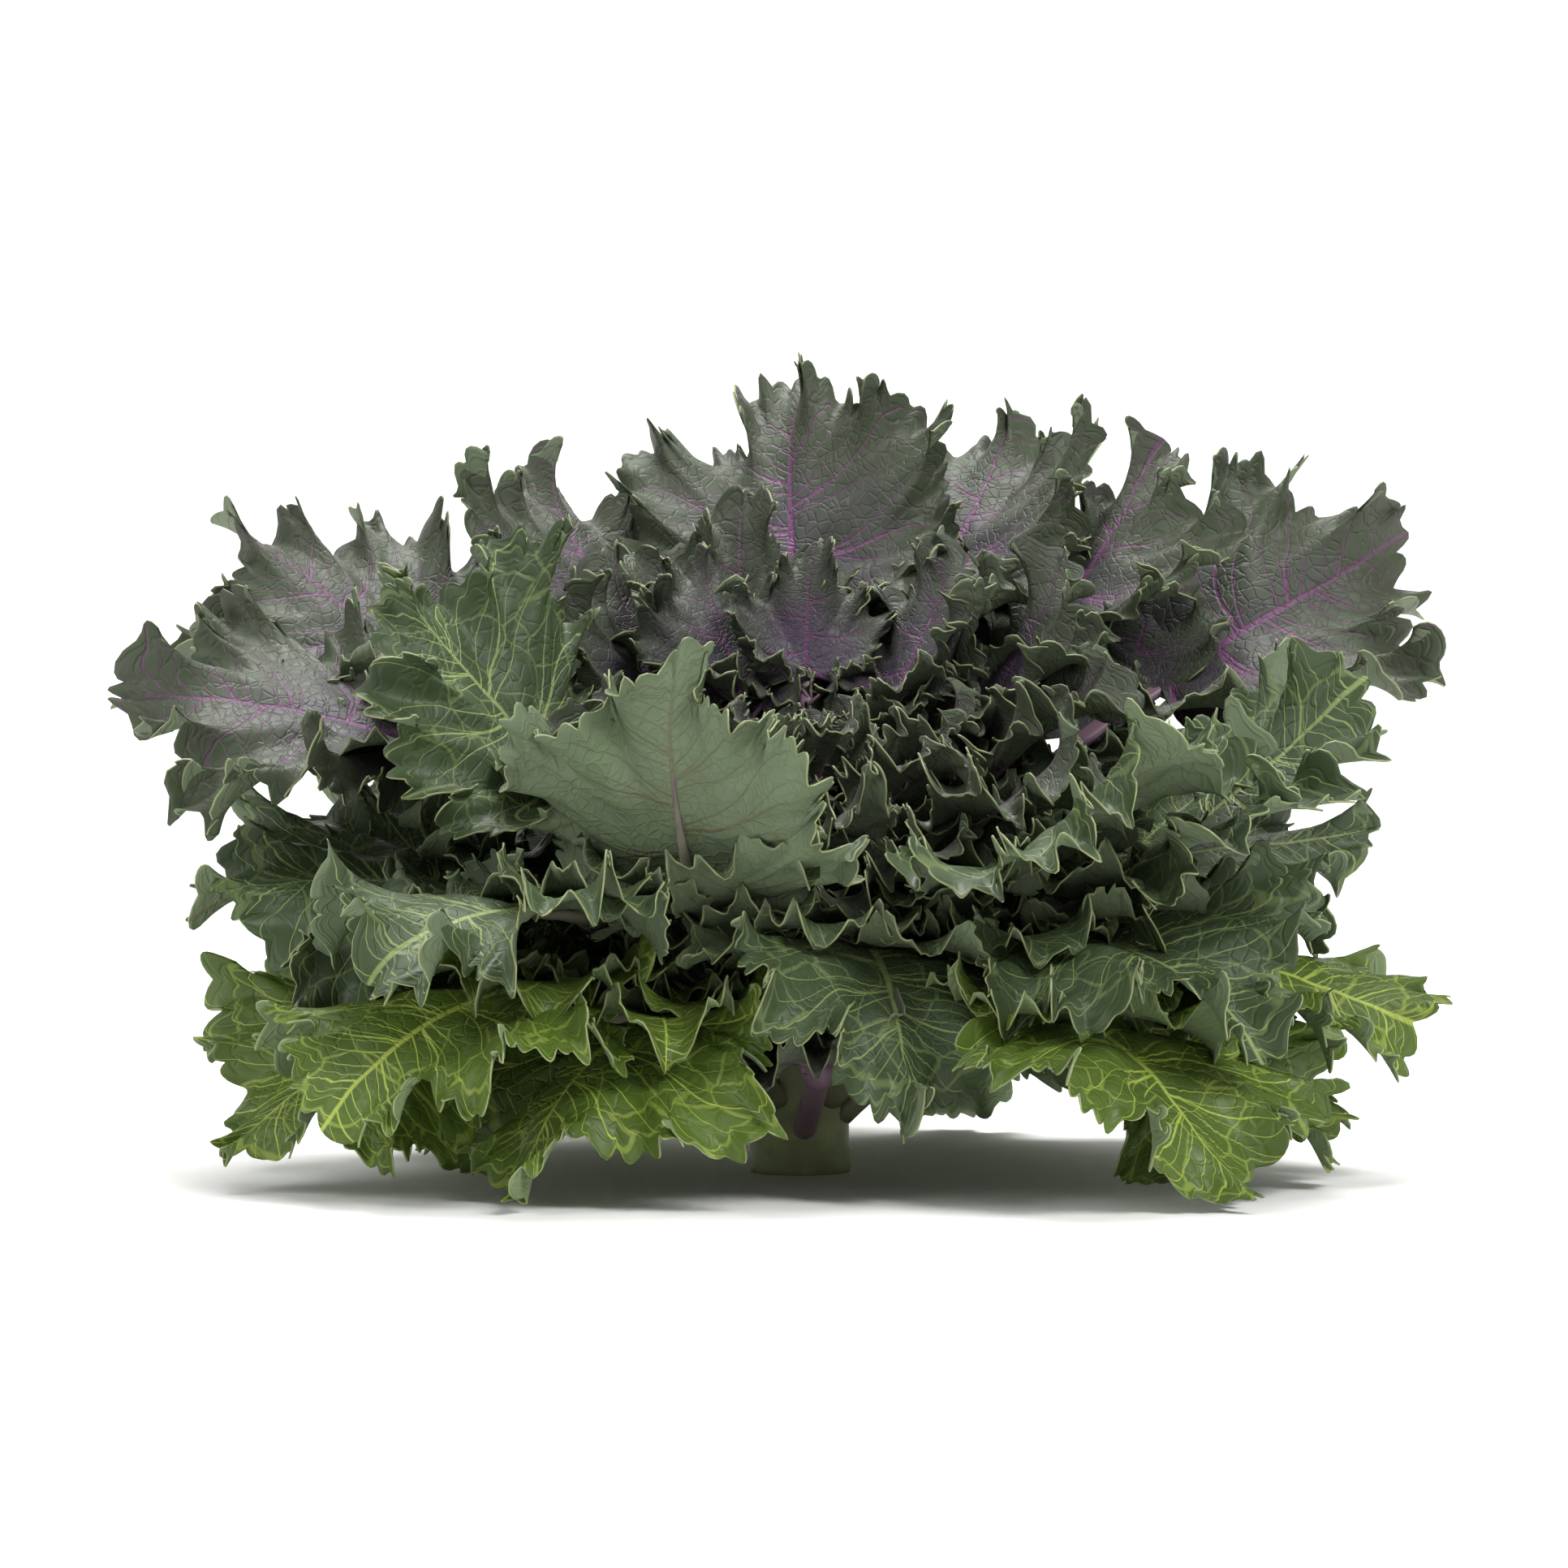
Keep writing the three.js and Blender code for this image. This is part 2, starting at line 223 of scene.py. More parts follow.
# Each leaf: bearing, height of its foot, slope at its foot, slope at its tip, stalk, blade, roll.
WHORLS = {
    "low_leaf": {
        "slot": "old_leaf", "stalk_width": 8, "cup": -0.004, "wave": 7.5, "lobe_pairs": 2.5,
        "frill": 0.45, "tooth": 0.085, "columns": 86, "rows": 24, "stalk_rows": 34,
        "waves": (9, 24, 17, 130),
        "leaves": (
            (352, 28, 38, -28, 96, 68, 8), (342, 18, 42, -48, 98, 66, 22),
            (314, 22, 37, -46, 108, 70, -6), (236, 22, 40, -58, 80, 74, 12),
            (222, 16, 46, -34, 102, 72, -6), (204, 24, 34, -40, 100, 68, -24),
            (170, 22, 48, -36, 92, 70, -30), (142, 26, 40, -58, 86, 68, 22),
            (106, 22, 42, -36, 90, 70, -12), (70, 24, 40, -54, 90, 70, 0),
            (32, 22, 42, -42, 94, 70, 16),
        ),
    },
    "spread_leaf": {
        "slot": "green_leaf", "stalk_width": 7.5, "cup": 0.002, "wave": 7.5, "lobe_pairs": 3,
        "frill": 0.65, "tooth": 0.085, "columns": 92, "rows": 25, "stalk_rows": 34,
        "waves": (11, 29, 20, 168),
        "leaves": (
            (338, 36, 25, 42, 85, 68, 34), (314, 40, 37, 22, 69, 68, 18),
            (286, 36, 48, -56, 73, 68, -15), (250, 32, 23, 70, 73, 64, -7),
            (226, 28, 50, -18, 90, 68, 2), (200, 46, 47, 50, 70, 64, -66),
            (192, 36, 44, -16, 80, 74, -36), (160, 38, 48, -16, 96, 64, -16),
            (124, 40, 42, -28, 88, 70, -4), (92, 36, 50, -18, 98, 72, 2),
            (54, 36, 52, -30, 80, 72, 0), (12, 36, 48, -12, 86, 66, 24),
            (320, 30, 44, -26, 88, 66, 16),
        ),
    },
    "outer_leaf": {
        "slot": "bloomed_leaf", "stalk_width": 7, "cup": 0.004, "wave": 7, "lobe_pairs": 3,
        "frill": 0.65, "tooth": 0.08, "columns": 92, "rows": 25, "stalk_rows": 34,
        "waves": (12, 31, 21, 176),
        "leaves": (
            (16, 52, 48, 24, 112, 72, 51), (182, 56, 47, -2, 109, 70, -36),
            (128, 54, 52, 54, 92, 66, 3), (154, 48, 44, 30, 120, 66, -34),
            (92, 58, 61, 62, 95, 68, -18), (60, 62, 58, 48, 101, 62, -7),
            (32, 58, 54, 46, 98, 58, 8), (106, 48, 60, -12, 92, 60, -6),
            (74, 50, 70, -4, 88, 68, 6), (44, 48, 60, -16, 92, 64, -2),
        ),
    },
    "middle_leaf": {
        "slot": "dark_leaf", "stalk_width": 6, "cup": 0.006, "wave": 6, "lobe_pairs": 2.5,
        "frill": 0.85, "tooth": 0.095, "columns": 76, "rows": 22, "stalk_rows": 26,
        "waves": (11, 27, 18, 140),
        "leaves": (
            (44, 68, 66, 54, 52, 50, -18), (110, 66, 62, 76, 62, 46, 0),
            (138, 64, 56, 64, 56, 48, -2), (12, 68, 52, 56, 54, 46, 12),
            (168, 64, 42, 40, 42, 50, -24), (348, 64, 46, 44, 42, 48, 10),
            (208, 64, 52, 28, 30, 42, -42), (242, 68, 42, 36, 36, 36, -4),
            (316, 64, 32, 22, 50, 38, 6), (298, 54, 36, 14, 30, 42, 16),
            (270, 60, 44, 10, 40, 34, 8),
        ),
    },
    "inner_leaf": {
        "slot": "purple_leaf", "stalk_width": 4.5, "cup": 0.012, "wave": 4.5, "lobe_pairs": 2,
        "frill": 0.95, "tooth": 0.105, "columns": 60, "rows": 18, "stalk_rows": 20,
        "waves": (9, 22, 15, 110),
        "leaves": (
            (32, 86, 62, 60, 40, 36, 0), (86, 80, 74, 74, 48, 30, 14),
            (126, 80, 72, 60, 44, 38, -16), (170, 80, 70, 46, 20, 30, -4),
            (196, 78, 58, 28, 32, 28, -10), (246, 78, 68, 6, 6, 24, 28),
            (282, 70, 44, 14, 10, 24, -2), (318, 74, 54, 34, 20, 30, 2),
            (352, 76, 68, 34, 24, 30, -10),
        ),
    },
}

# The two tight rosettes: the heart on top of the stem and a side shoot low at the front.
BUD_SIDES = 24
BUD_STEP = 0.45
SHOOT_BEARING = 275
SHOOT_HEIGHT = 13
SHOOT_RISE = 22
SHOOT_REACH = 46
SHOOT_RADIUS = 3
SHOOT_ROWS = 12
HEART_GAP = 0.4
ROSETTES = {
    "heart": {
        "core_radius": 6.5, "count": 11, "first_bearing": 300, "rise": (52, 84), "end": (40, 80),
        "stalk": (9, 3), "blade": (25, 11), "stalk_width": 3, "cup": 0.03, "wave": 2.6,
        "lobe_pairs": 1.5, "frill": 1.05, "tooth": 0.115, "columns": 44, "rows": 13, "stalk_rows": 10,
        "waves": (7, 16, 12, 80),
    },
    "side_shoot": {
        "core_radius": 5, "count": 12, "first_bearing": 250, "rise": (18, 70), "end": (-6, 60),
        "stalk": (9, 4), "blade": (27, 13), "stalk_width": 3, "cup": 0.02, "wave": 2.4,
        "lobe_pairs": 1.5, "frill": 1.05, "tooth": 0.115, "columns": 44, "rows": 13, "stalk_rows": 10,
        "waves": (7, 16, 12, 80),
    },
}

# Skins of the leaves by age: shares of their colours, net sizes in millimetres and gloss.
LEAF_SHADE = "#161c10"
SPOT_COLOUR = "#2b2a18"
UNDER_PALE = "#93a47f"
VEIN_SHARE = 0.9
UPPER_SHADE = 0.4
UPPER_GLOSS = 0.42
UNDER_SHADE = 0.2
UNDER_BLUSH = 0.5
UNDER_VEIN = 0.7
UNDER_NET = 0.4
UNDER_VEIN_FADE = 0.3
RIM_DRIFT = 0.4
GREEN_LOOK = {
    "blush": 0, "blush_reach": (0, 0.5), "net_colour": 0.6, "net_size": 11.5, "fine": 0.08,
    "vein_fade": 0, "rim_fade": 0,
}
PURPLE_LOOK = {
    "blush": 0.9, "blush_reach": (0.35, 0.9), "net_colour": 0.3, "net_size": 9, "net_share": 0.3,
    "fine": 0.04, "bloom": 0.12, "vein_fade": 0.45, "spots": 0, "sheen": 0.08, "rough": 0.46,
    "pale": 0.28, "under_vein": "#4a3440", "rim_fade": 0.2, "stalk_green": 0.15,
}
LEAF_LOOKS = {
    "old_leaf": {
        **GREEN_LOOK, "net_share": 0.65, "bloom": 0.05, "spots": 0.7, "sheen": 0.03, "rough": 0.44,
        "pale": 0.42, "under_vein": "#7f8c60", "stalk_green": 0.65,
    },
    "green_leaf": {
        **GREEN_LOOK, "net_share": 0.6, "bloom": 0.12, "spots": 0, "sheen": 0.07, "rough": 0.46,
        "pale": 0.36, "under_vein": "#4a3440", "stalk_green": 0.6,
    },
    "bloomed_leaf": {
        **PURPLE_LOOK, "blush": 0.6, "blush_reach": (0.3, 0.85), "net_share": 0.35, "fine": 0.05,
        "vein_fade": 0.4, "sheen": 0.05, "rough": 0.5, "pale": 0.4, "rim_fade": 0.1,
        "stalk_green": 0.2,
    },
    "dark_leaf": PURPLE_LOOK,
    "purple_leaf": PURPLE_LOOK,
}

# The stem's skins.
STEM_DRIFT_COLOUR = "#7d7f5c"
STEM_DRIFT = 0.7
PITH_COLOUR = "#d3d8ae"
PITH_DRIFT_COLOUR = "#b3bd86"

# The stage, in metres.
SWEEP_HALF_WIDTH = 6
SWEEP_FRONT = -5
SWEEP_BACK = 1.6
SWEEP_RADIUS = 1.2
SWEEP_HEIGHT = 4
SWEEP_COLUMNS = 2
SWEEP_ROWS = 96
SENSOR_WIDTH = 36
AIR_STRENGTH = 0.42
BACKDROP_AIM = Vector((0, 2.8, 0.6))

# Each lamp: place from the middle of the bunch, width of its disc and watts.
LAMPS = {
    "key_lamp": ((0.8, -0.9, 1.15), 0.7, 20),
    "fill_lamp": ((-1.2, -0.7, 0.8), 0.9, 9),
    "top_lamp": ((-0.1, 0.4, 1.5), 1.1, 22),
    "backdrop_lamp": ((0, 1.0, 2.6), 2.0, 70),
}


def linear(hex_colour):
    """Linear red, green and blue of an sRGB hex colour."""
    channels = (int(hex_colour[i:i + 2], 16) / 255 for i in (1, 3, 5))
    return tuple(c / 12.92 if c <= 0.04045 else ((c + 0.055) / 1.055) ** 2.4 for c in channels)


def colour(name, description, hex_colour):
    """A colour that a user can change."""
    return bpy.props.FloatVectorProperty(
        name=name, description=description, subtype="COLOR", size=3, min=0, max=1,
        default=linear(hex_colour))


def rise_between(low, high, value):
    """0 below low, 1 above high, and an even S between them."""
    t = min(max((value - low) / (high - low), 0), 1)
    return t * t * (3 - 2 * t)


def between(pair, share):
    """The value at a share of the way from the first of a pair to the second."""
    return pair[0] + (pair[1] - pair[0]) * share


def direction(bearing, slope):
    """Unit vector at a bearing round the stem and a slope above level, in degrees."""
    turn, lift = radians(bearing), radians(slope)
    return Vector((cos(turn) * cos(lift), sin(turn) * cos(lift), sin(lift)))


def stem_radius(height):
    """Radius of the stem at a height."""
    return between((STEM_FOOT_RADIUS, STEM_TOP_RADIUS), (height / STEM_HEIGHT) ** 2)


def stem_side(bearing, height):
    """Where a stalk meets the stem."""
    place = direction(bearing, 0) * (stem_radius(height) + LEAF_GAP)
    place.z = height
    return place


class KaleLeafSettings(bpy.types.PropertyGroup):
    """Sizes that every leaf shares."""

    thickness: bpy.props.FloatProperty(
        name="Blade thickness", description="Thickness of a leaf blade", default=0.45 * MM,
        min=0.2 * MM, max=2 * MM, precision=5, unit="LENGTH")
    frill: bpy.props.FloatProperty(
        name="Frill", description="Height of the frilled margin against a natural one",
        default=1, min=0, max=2, subtype="FACTOR")
    teeth: bpy.props.FloatProperty(
        name="Teeth", description="Depth of the lobes and teeth against natural ones",
        default=1, min=0, max=2, subtype="FACTOR")
    groove: bpy.props.FloatProperty(
        name="Vein groove", description="Depth of the grooves over the main veins",
        default=0.6 * MM, min=0, max=2 * MM, precision=5, unit="LENGTH")
    quilt: bpy.props.FloatProperty(
        name="Quilting", description="Height of the blade's bulges between the veins",
        default=1.1 * MM, min=0, max=3 * MM, precision=5, unit="LENGTH")


class KaleColours(bpy.types.PropertyGroup):
    """Colours of the leaves by their age, from the lowest to the heart; the lowest ones' colours also hold
    painted light that shines through the blade.
    """

    # Lowest leaves: their own yellow-green, brightened by painted light that shines through the thin blade
    # and its veins.
    old_leaf: colour("Old leaf", "Blade of the lowest leaves", "#4a6018")
    old_vein: colour("Old vein", "Veins of the lowest leaves", "#9fb04c")
    green_leaf: colour("Green leaf", "Blade of the spreading leaves", "#354522")
    green_vein: colour("Green vein", "Veins of the spreading leaves", "#84945a")
    bloomed_leaf: colour("Bloomed leaf", "Blade of the outer leaves", "#39432b")
    bloomed_vein: colour("Bloomed vein", "Veins of the outer leaves", "#6d3c68")
    dark_leaf: colour("Dark leaf", "Blade of the middle leaves", "#39422d")
    dark_vein: colour("Dark vein", "Veins of the middle leaves", "#603a5c")
    purple_leaf: colour("Purple leaf", "Blade of the inner leaves", "#353b2c")
    purple_vein: colour("Purple vein", "Veins of the inner leaves", "#5c3257")
    heart_blush: colour("Blush", "Purple that fills the foot of a young blade", "#3b2543")
    bloom: colour("Bloom", "Waxy bloom over the blades", "#79847c")
    rim: colour("Rim", "Thin pale line along the margins", "#8e9668")
    stalk: colour("Stalk", "Stalks and midribs", "#7d5878")
    stem: colour("Stem", "Stem", "#9aa472")


class KaleStage(bpy.types.PropertyGroup):
    """Camera and light."""

    distance: bpy.props.FloatProperty(
        name="Camera distance", description="From the stem to the camera", default=1.47,
        min=0.5, max=5, unit="LENGTH")
    eye_height: bpy.props.FloatProperty(
        name="Eye height", description="Height of the camera above the floor", default=0.135,
        min=0, max=2, unit="LENGTH")
    aim_height: bpy.props.FloatProperty(
        name="Aim height", description="Height of the picture's middle at the stem",
        default=0.098, min=0, max=1, unit="LENGTH")
    field: bpy.props.FloatProperty(
        name="Field", description="Width of the picture at the stem", default=0.401,
        min=0.1, max=2, unit="LENGTH")
    light: bpy.props.FloatProperty(
        name="Light", description="Strength of the lamps against the normal setting",
        default=1, min=0, max=4, subtype="FACTOR")
    floor: colour("Floor", "Paper sweep under and behind the bunch", "#f1f1ef")


class Leaf:
    """One leaf in millimetres: a bent midrib with a fan-shaped blade across the end of it."""

    def __init__(self, style, number, foot, bearing, slopes, sizes, roll, settings):
        self.style = style
        self.settings = settings
        self.phase = GOLDEN_ANGLE * number
        by_number, by_lobes, by_frill = SEED_STEPS
        self.seed = by_number * number + by_lobes * style["lobe_pairs"] + by_frill * style["frill"]
        self.stalk, self.blade = sizes
        self.length = self.stalk + self.blade
        self.foot = foot
        self.start = direction(bearing, slopes[0])
        self.finish = direction(bearing, slopes[1])
        self.knee = foot + self.start * self.length / 2
        self.tip = self.knee + self.finish * self.length / 2
        self.level = direction(bearing + 90, 0)
        self.roll = radians(roll)
        self.columns = {}
        self.fine = (FULL_BLADE / self.blade) ** SMALL_BLADE_POWER

    def frame(self, share):
        """Middle, side and upper directions of the midrib at a share of its length."""
        rest = 1 - share
        middle = self.foot * rest * rest + self.knee * 2 * rest * share + self.tip * share * share
        along = self.start.lerp(self.finish, share).normalized()
        upper = along.cross(self.level).normalized()
        side = upper.cross(along)
        roll = self.roll * min(max(share, 0), 1)
        return middle, side * cos(roll) + upper * sin(roll), upper * cos(roll) - side * sin(roll)

    def point(self, across, along, lift):
        """Place of a flat point of the leaf, with the leaf bent, rolled and cupped."""
        middle, side, upper = self.frame((self.stalk + along) / self.length)
        cup = self.style["cup"]
        bend = cup * across
        return middle + side * (sin(bend) / cup) + upper * ((1 - cos(bend)) / cup + lift)

    def margin(self, angle):
        """Distance from the foot of the blade to its margin, with the broad lobes."""
        centre = FAN_CENTRE_SHARE * self.blade
        along = self.blade - centre
        across = FAN_HALF_WIDTH_SHARE * self.blade
        a = (sin(angle) / across) ** 2 + (cos(angle) / along) ** 2
        b = -2 * centre * cos(angle) / along ** 2
        c = (centre / along) ** 2 - 1
        ellipse = (-b + sqrt(b * b - 4 * a * c)) / (2 * a)
        lobe = cos(angle * self.style["lobe_pairs"] * tau / FAN_HALF_ANGLE)
        return ellipse * (1 + LOBE_DEPTH * lobe)

    def column(self, angle):
        """What holds all along one angle of the fan, from the foot of the blade to its margin."""
        if angle in self.columns:
            return self.columns[angle]

        def uneven(amount, rate, row):
            return amount * noise.noise(Vector((angle * rate, self.seed, row)))

        share = angle / FAN_HALF_ANGLE
        drift = WAVE_DRIFT * sin(WAVE_DRIFT_TURNS * angle + 2 * self.phase)
        frills, crimps, lobes, teeth = self.style["waves"]
        frill = frills * pi * share + FRILL_PHASE * self.phase + uneven(*FRILL_DRIFT)
        crimp = crimps * pi * share + CRIMP_PHASE * self.phase + uneven(*CRIMP_DRIFT)
        lobe = abs(sin(lobes * angle / 2 + self.phase + uneven(*LOBE_DRIFT)))
        tooth = sin(teeth * angle / 2 + TOOTH_PHASE * self.phase + uneven(*TOOTH_DRIFT))
        depth = self.blade * self.style["tooth"] * self.settings.teeth * (1 + uneven(*TOOTH_UNEVEN))
        strength = self.style["frill"] * self.settings.frill
        curl = (1 + uneven(*FRILL_UNEVEN)) * sin(frill) + CURL_BIAS + uneven(*CURL_UNEVEN)
        curl = CURL_LIMIT * tanh(strength * curl / CURL_LIMIT)
        made = {
            "margin": self.margin(angle),
            "wave": sin(WAVE_TURNS * angle + self.phase + drift),
            "swell": strength * sin(frill),
            "lean": cos(frill),
            "teeth": depth * (lobe - NOTCH + TOOTH_SHARE * (abs(tooth) - NOTCH)),
            "curl": curl,
            "crimp": strength * CRIMP_SHARE * (1 + uneven(*CRIMP_UNEVEN)) * sin(crimp),
            "crinkle": strength * CRINKLE_SHARE * tooth,
        }
        self.columns[angle] = made
        return made

    def vein_distance(self, across, along, reach):
        """Distance to the nearest vein, with the midrib counted as broader and a branch as thinner."""
        side = abs(across)
        spread = 1 + VEIN_FAN * side
        root = (along + VEIN_BACK * side) / spread
        slope = VEIN_FAN * root - VEIN_BACK
        sway = VEIN_SWAY * sin(side * VEIN_SWAY_RATE)
        root += sway + (VEIN_STEP / 4 if across > 0 else -VEIN_STEP / 4)
        half = VEIN_STEP / 2
        away = abs((root + half) % VEIN_STEP - half)
        scale = spread / sqrt(1 + slope * slope)
        nearest = min(away * scale, side / MIDRIB_BREADTH)
        for start, end, share, width in BRANCHES:
            place = half * share * min(max((reach - start) / (end - start), 0), 1)
            if reach > start:
                nearest = min(nearest, abs(away - place) * scale / width)
        return nearest

    def lift(self, column, reach, across, along):
        """Height of the blade over its flat plan: broad waves, swells and quilting."""
        height = self.style["wave"] * reach ** 2 * column["wave"]
        height += SWELL_SHARE * self.blade * rise_between(SWELL_START, 1, reach) * column["swell"]
        away = self.vein_distance(across, along, reach)
        fade = rise_between(0, QUILT_START, reach) * self.blade / FULL_BLADE
        pucker = noise.noise(Vector((across / PUCKER_SIZE, along / PUCKER_SIZE, self.seed)))
        quilt = QUILT_RISE - exp(-(away / QUILT_WIDTH) ** 2) + PUCKER_SHARE * pucker
        groove = exp(-(away / GROOVE_WIDTH) ** 2) * (1 - GROOVE_FADE * reach)
        return height + fade * (self.settings.quilt * quilt - self.settings.groove * groove) / MM

    def blade_point(self, u, v):
        """Place on the blade and its flat position: u across the fan, v from its foot outwards."""
        angle = FAN_HALF_ANGLE * (1 - 2 * u)
        reach = FOOT_SHARE + (1 - FOOT_SHARE) * (1 - (1 - v) ** MARGIN_CROWDING)
        column = self.column(angle)
        margin = column["margin"]
        across, along = reach * margin * sin(angle), reach * margin * cos(angle)
        flat = Vector((across * self.fine, along * self.fine, reach))
        lift = self.lift(column, reach, across, along)
        distance = min(reach, EDGE_START) * margin
        if reach > EDGE_START:
            share = (reach - EDGE_START) / (1 - EDGE_START)
            wide = share * ((1 - EDGE_START) * EDGE_STRETCH * margin + share * column["teeth"])
            bend = share * (column["curl"] + share * (column["crimp"] + share * column["crinkle"]))
            bend = bend if abs(bend) > LEAST_BEND else LEAST_BEND
            distance += wide * sin(bend) / bend
            lift += wide * (1 - cos(bend)) / bend
            angle += FOLD_ANGLE * share * column["lean"]
        return self.point(distance * sin(angle), distance * cos(angle), lift), flat

    def leaflet(self, number, above, hand, size):
        """A small leaf on the stalk, at a share of the stalk below the blade."""
        share = self.stalk * (1 - above) / self.length
        middle, side, upper = self.frame(share)
        along = self.start.lerp(self.finish, share).normalized()
        out = (along + side * hand * LEAFLET_SPREAD + upper * LEAFLET_RISE).normalized()
        bearing = degrees(atan2(out.y, out.x))
        slope = degrees(asin(out.z))
        foot = middle + side * hand * self.style["stalk_width"] * LEAFLET_OFFSET
        sizes = LEAFLET_STALK, max(size * self.blade, LEAFLET_LEAST_BLADE)
        slopes = slope, slope - LEAFLET_DROOP
        return Leaf(LEAFLET_STYLE, number, foot, bearing, slopes, sizes, 0, self.settings)

    def stalk_point(self, u, v):
        """Place on the stalk and midrib: u round it, v from inside the stem to its tip."""
        along = between((-self.stalk - STALK_ENTRY, MIDRIB_END * self.blade), v)
        thick = self.style["stalk_width"] / 2
        if along < 0:
            thick *= 1 - STALK_TAPER * (1 + along / self.stalk)
            lift = 0
        else:
            reach = along / self.margin(0)
            share = reach / MIDRIB_END
            thick *= (1 - STALK_TAPER) * between((1, MIDRIB_TIP), min(share, 1) ** MIDRIB_TAPER_POWER)
            lift = self.lift(self.column(0), reach, 0, along)
        centre, side, upper = self.frame((self.stalk + along) / self.length)
        round_it = tau * u
        top = max(sin(round_it), 0)
        height = STALK_FLATNESS * sin(round_it) - STALK_CHANNEL * top ** STALK_CHANNEL_POWER
        sink_start = -STALK_SINK_START * self.stalk - STALK_SINK_LEAD
        sink = thick * STALK_FLATNESS * rise_between(sink_start, STALK_SINK_END * self.blade, along)
        return centre + side * (thick * cos(round_it)) + upper * (lift + thick * height - sink)


def bent_grid(mesh, columns, rows, place, margin_cuts=()):
    """Adds a grid with its corners at place(vert, u, v); cuts make it finer outwards, in an empty mesh."""
    made = bmesh.ops.create_grid(mesh, x_segments=columns, y_segments=rows, size=0.5)["verts"]
    for cuts, start in margin_cuts:
        outer = []
        for edge in mesh.edges:
            first, last = (vert.co.y + 0.5 for vert in edge.verts)
            if first > start and abs(first - last) < 0.1 / rows:
                outer.append(edge)
        bmesh.ops.subdivide_edges(mesh, edges=outer, cuts=cuts, use_grid_fill=True)
        made = list(mesh.verts)
    for vert in made:
        vert.co = place(vert, vert.co.x + 0.5, vert.co.y + 0.5)
    return made


def in_place(point):
    """A point of the bunch, in metres where the frame has it."""
    return STEM_FOOT + point * MM


def grown_at(point):
    """A point of a leaf in place, bent along the floor where it would go through it."""
    if point.z < FLOOR_BEND:
        room = FLOOR_BEND - FLOOR_GAP
        point.z = FLOOR_GAP + room * exp((point.z - FLOOR_BEND) / room)
    return in_place(point)


def faces_of(verts):
    """The faces that use any of these corners, each once and always in the same order."""
    return list(dict.fromkeys(face for vert in verts for face in vert.link_faces))


def close_rod(mesh, verts, material):
    """Joins the seam of a rod, closes its ends and turns its faces outwards."""
    faces = faces_of(verts)
    bmesh.ops.remove_doubles(mesh, verts=verts, dist=ROD_MERGE)
    faces = [face for face in faces if face.is_valid]
    open_edges = [edge for face in faces for edge in face.edges if edge.is_boundary]
    faces += bmesh.ops.holes_fill(mesh, edges=open_edges, sides=0)["faces"]
    bmesh.ops.recalc_face_normals(mesh, faces=faces)
    for face in faces:
        face.material_index = material


def add_leaf(mesh, leaf):
    """Adds one leaf: a blade with its two faces and its rim, and the rod of its stalk."""
    own = bmesh.new()
    flat = own.verts.layers.float_vector.new("leaf")

    def on_blade(vert, u, v):
        place, vert[flat] = leaf.blade_point(u, v)
        return grown_at(place)

    first = set(bent_grid(own, leaf.style["columns"], leaf.style["rows"], on_blade, MARGIN_CUTS))
    own.normal_update()
    made = bmesh.ops.extrude_face_region(own, geom=list(own.faces), use_keep_orig=True)["geom"]
    for vert in made:
        if isinstance(vert, bmesh.types.BMVert):
            vert.co -= vert.normal * leaf.settings.thickness
    bmesh.ops.recalc_face_normals(own, faces=list(own.faces))
    for face in own.faces:
        kept = sum(vert in first for vert in face.verts)
        face.material_index = UPPER if kept == len(face.verts) else UNDER if kept == 0 else RIM
    rod = bent_grid(own, STALK_SIDES, leaf.style["stalk_rows"],
                    lambda vert, u, v: grown_at(leaf.stalk_point(u, v)))
    close_rod(own, rod, STALK)
    data = bpy.data.meshes.new("leaf")
    own.to_mesh(data)
    own.free()
    mesh.from_mesh(data)
    bpy.data.meshes.remove(data)


def finish_piece(mesh, name, materials):
    """Makes the object of a finished mesh and hands it to the frame."""
    data = bpy.data.meshes.new(name)
    for face in mesh.faces:
        face.smooth = True
    mesh.to_mesh(data)
    mesh.free()
    for material in materials:
        data.materials.append(material)
    piece = bpy.data.objects.new(f"kale_{name}", data)
    bpy.context.scene.collection.objects.link(piece)
    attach(piece, "root")
    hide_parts(name)
    return piece


def new_material(name):
    """An empty material, its node tree and the surface socket of its output."""
    material = bpy.data.materials.new(name)
    material.use_nodes = True
    tree = material.node_tree
    tree.nodes.clear()
    output = tree.nodes.new("ShaderNodeOutputMaterial")
    return material, tree, output.inputs["Surface"]


def node(tree, kind, inputs, **settings):
    """Adds a node with its settings; each input gets a value, a socket or another node's output."""
    made = tree.nodes.new(f"ShaderNode{kind}")
    for name, value in settings.items():
        setattr(made, name, value)
    for name, value in inputs.items():
        if isinstance(value, bpy.types.Node):
            value = next(output for output in value.outputs if output.enabled)
        if isinstance(value, bpy.types.NodeSocket):
            tree.links.new(value, made.inputs[name])
        else:
            made.inputs[name].default_value = value
    return made


def opaque(rgb):
    """A colour with full alpha, as a socket takes it."""
    return (*rgb, 1)


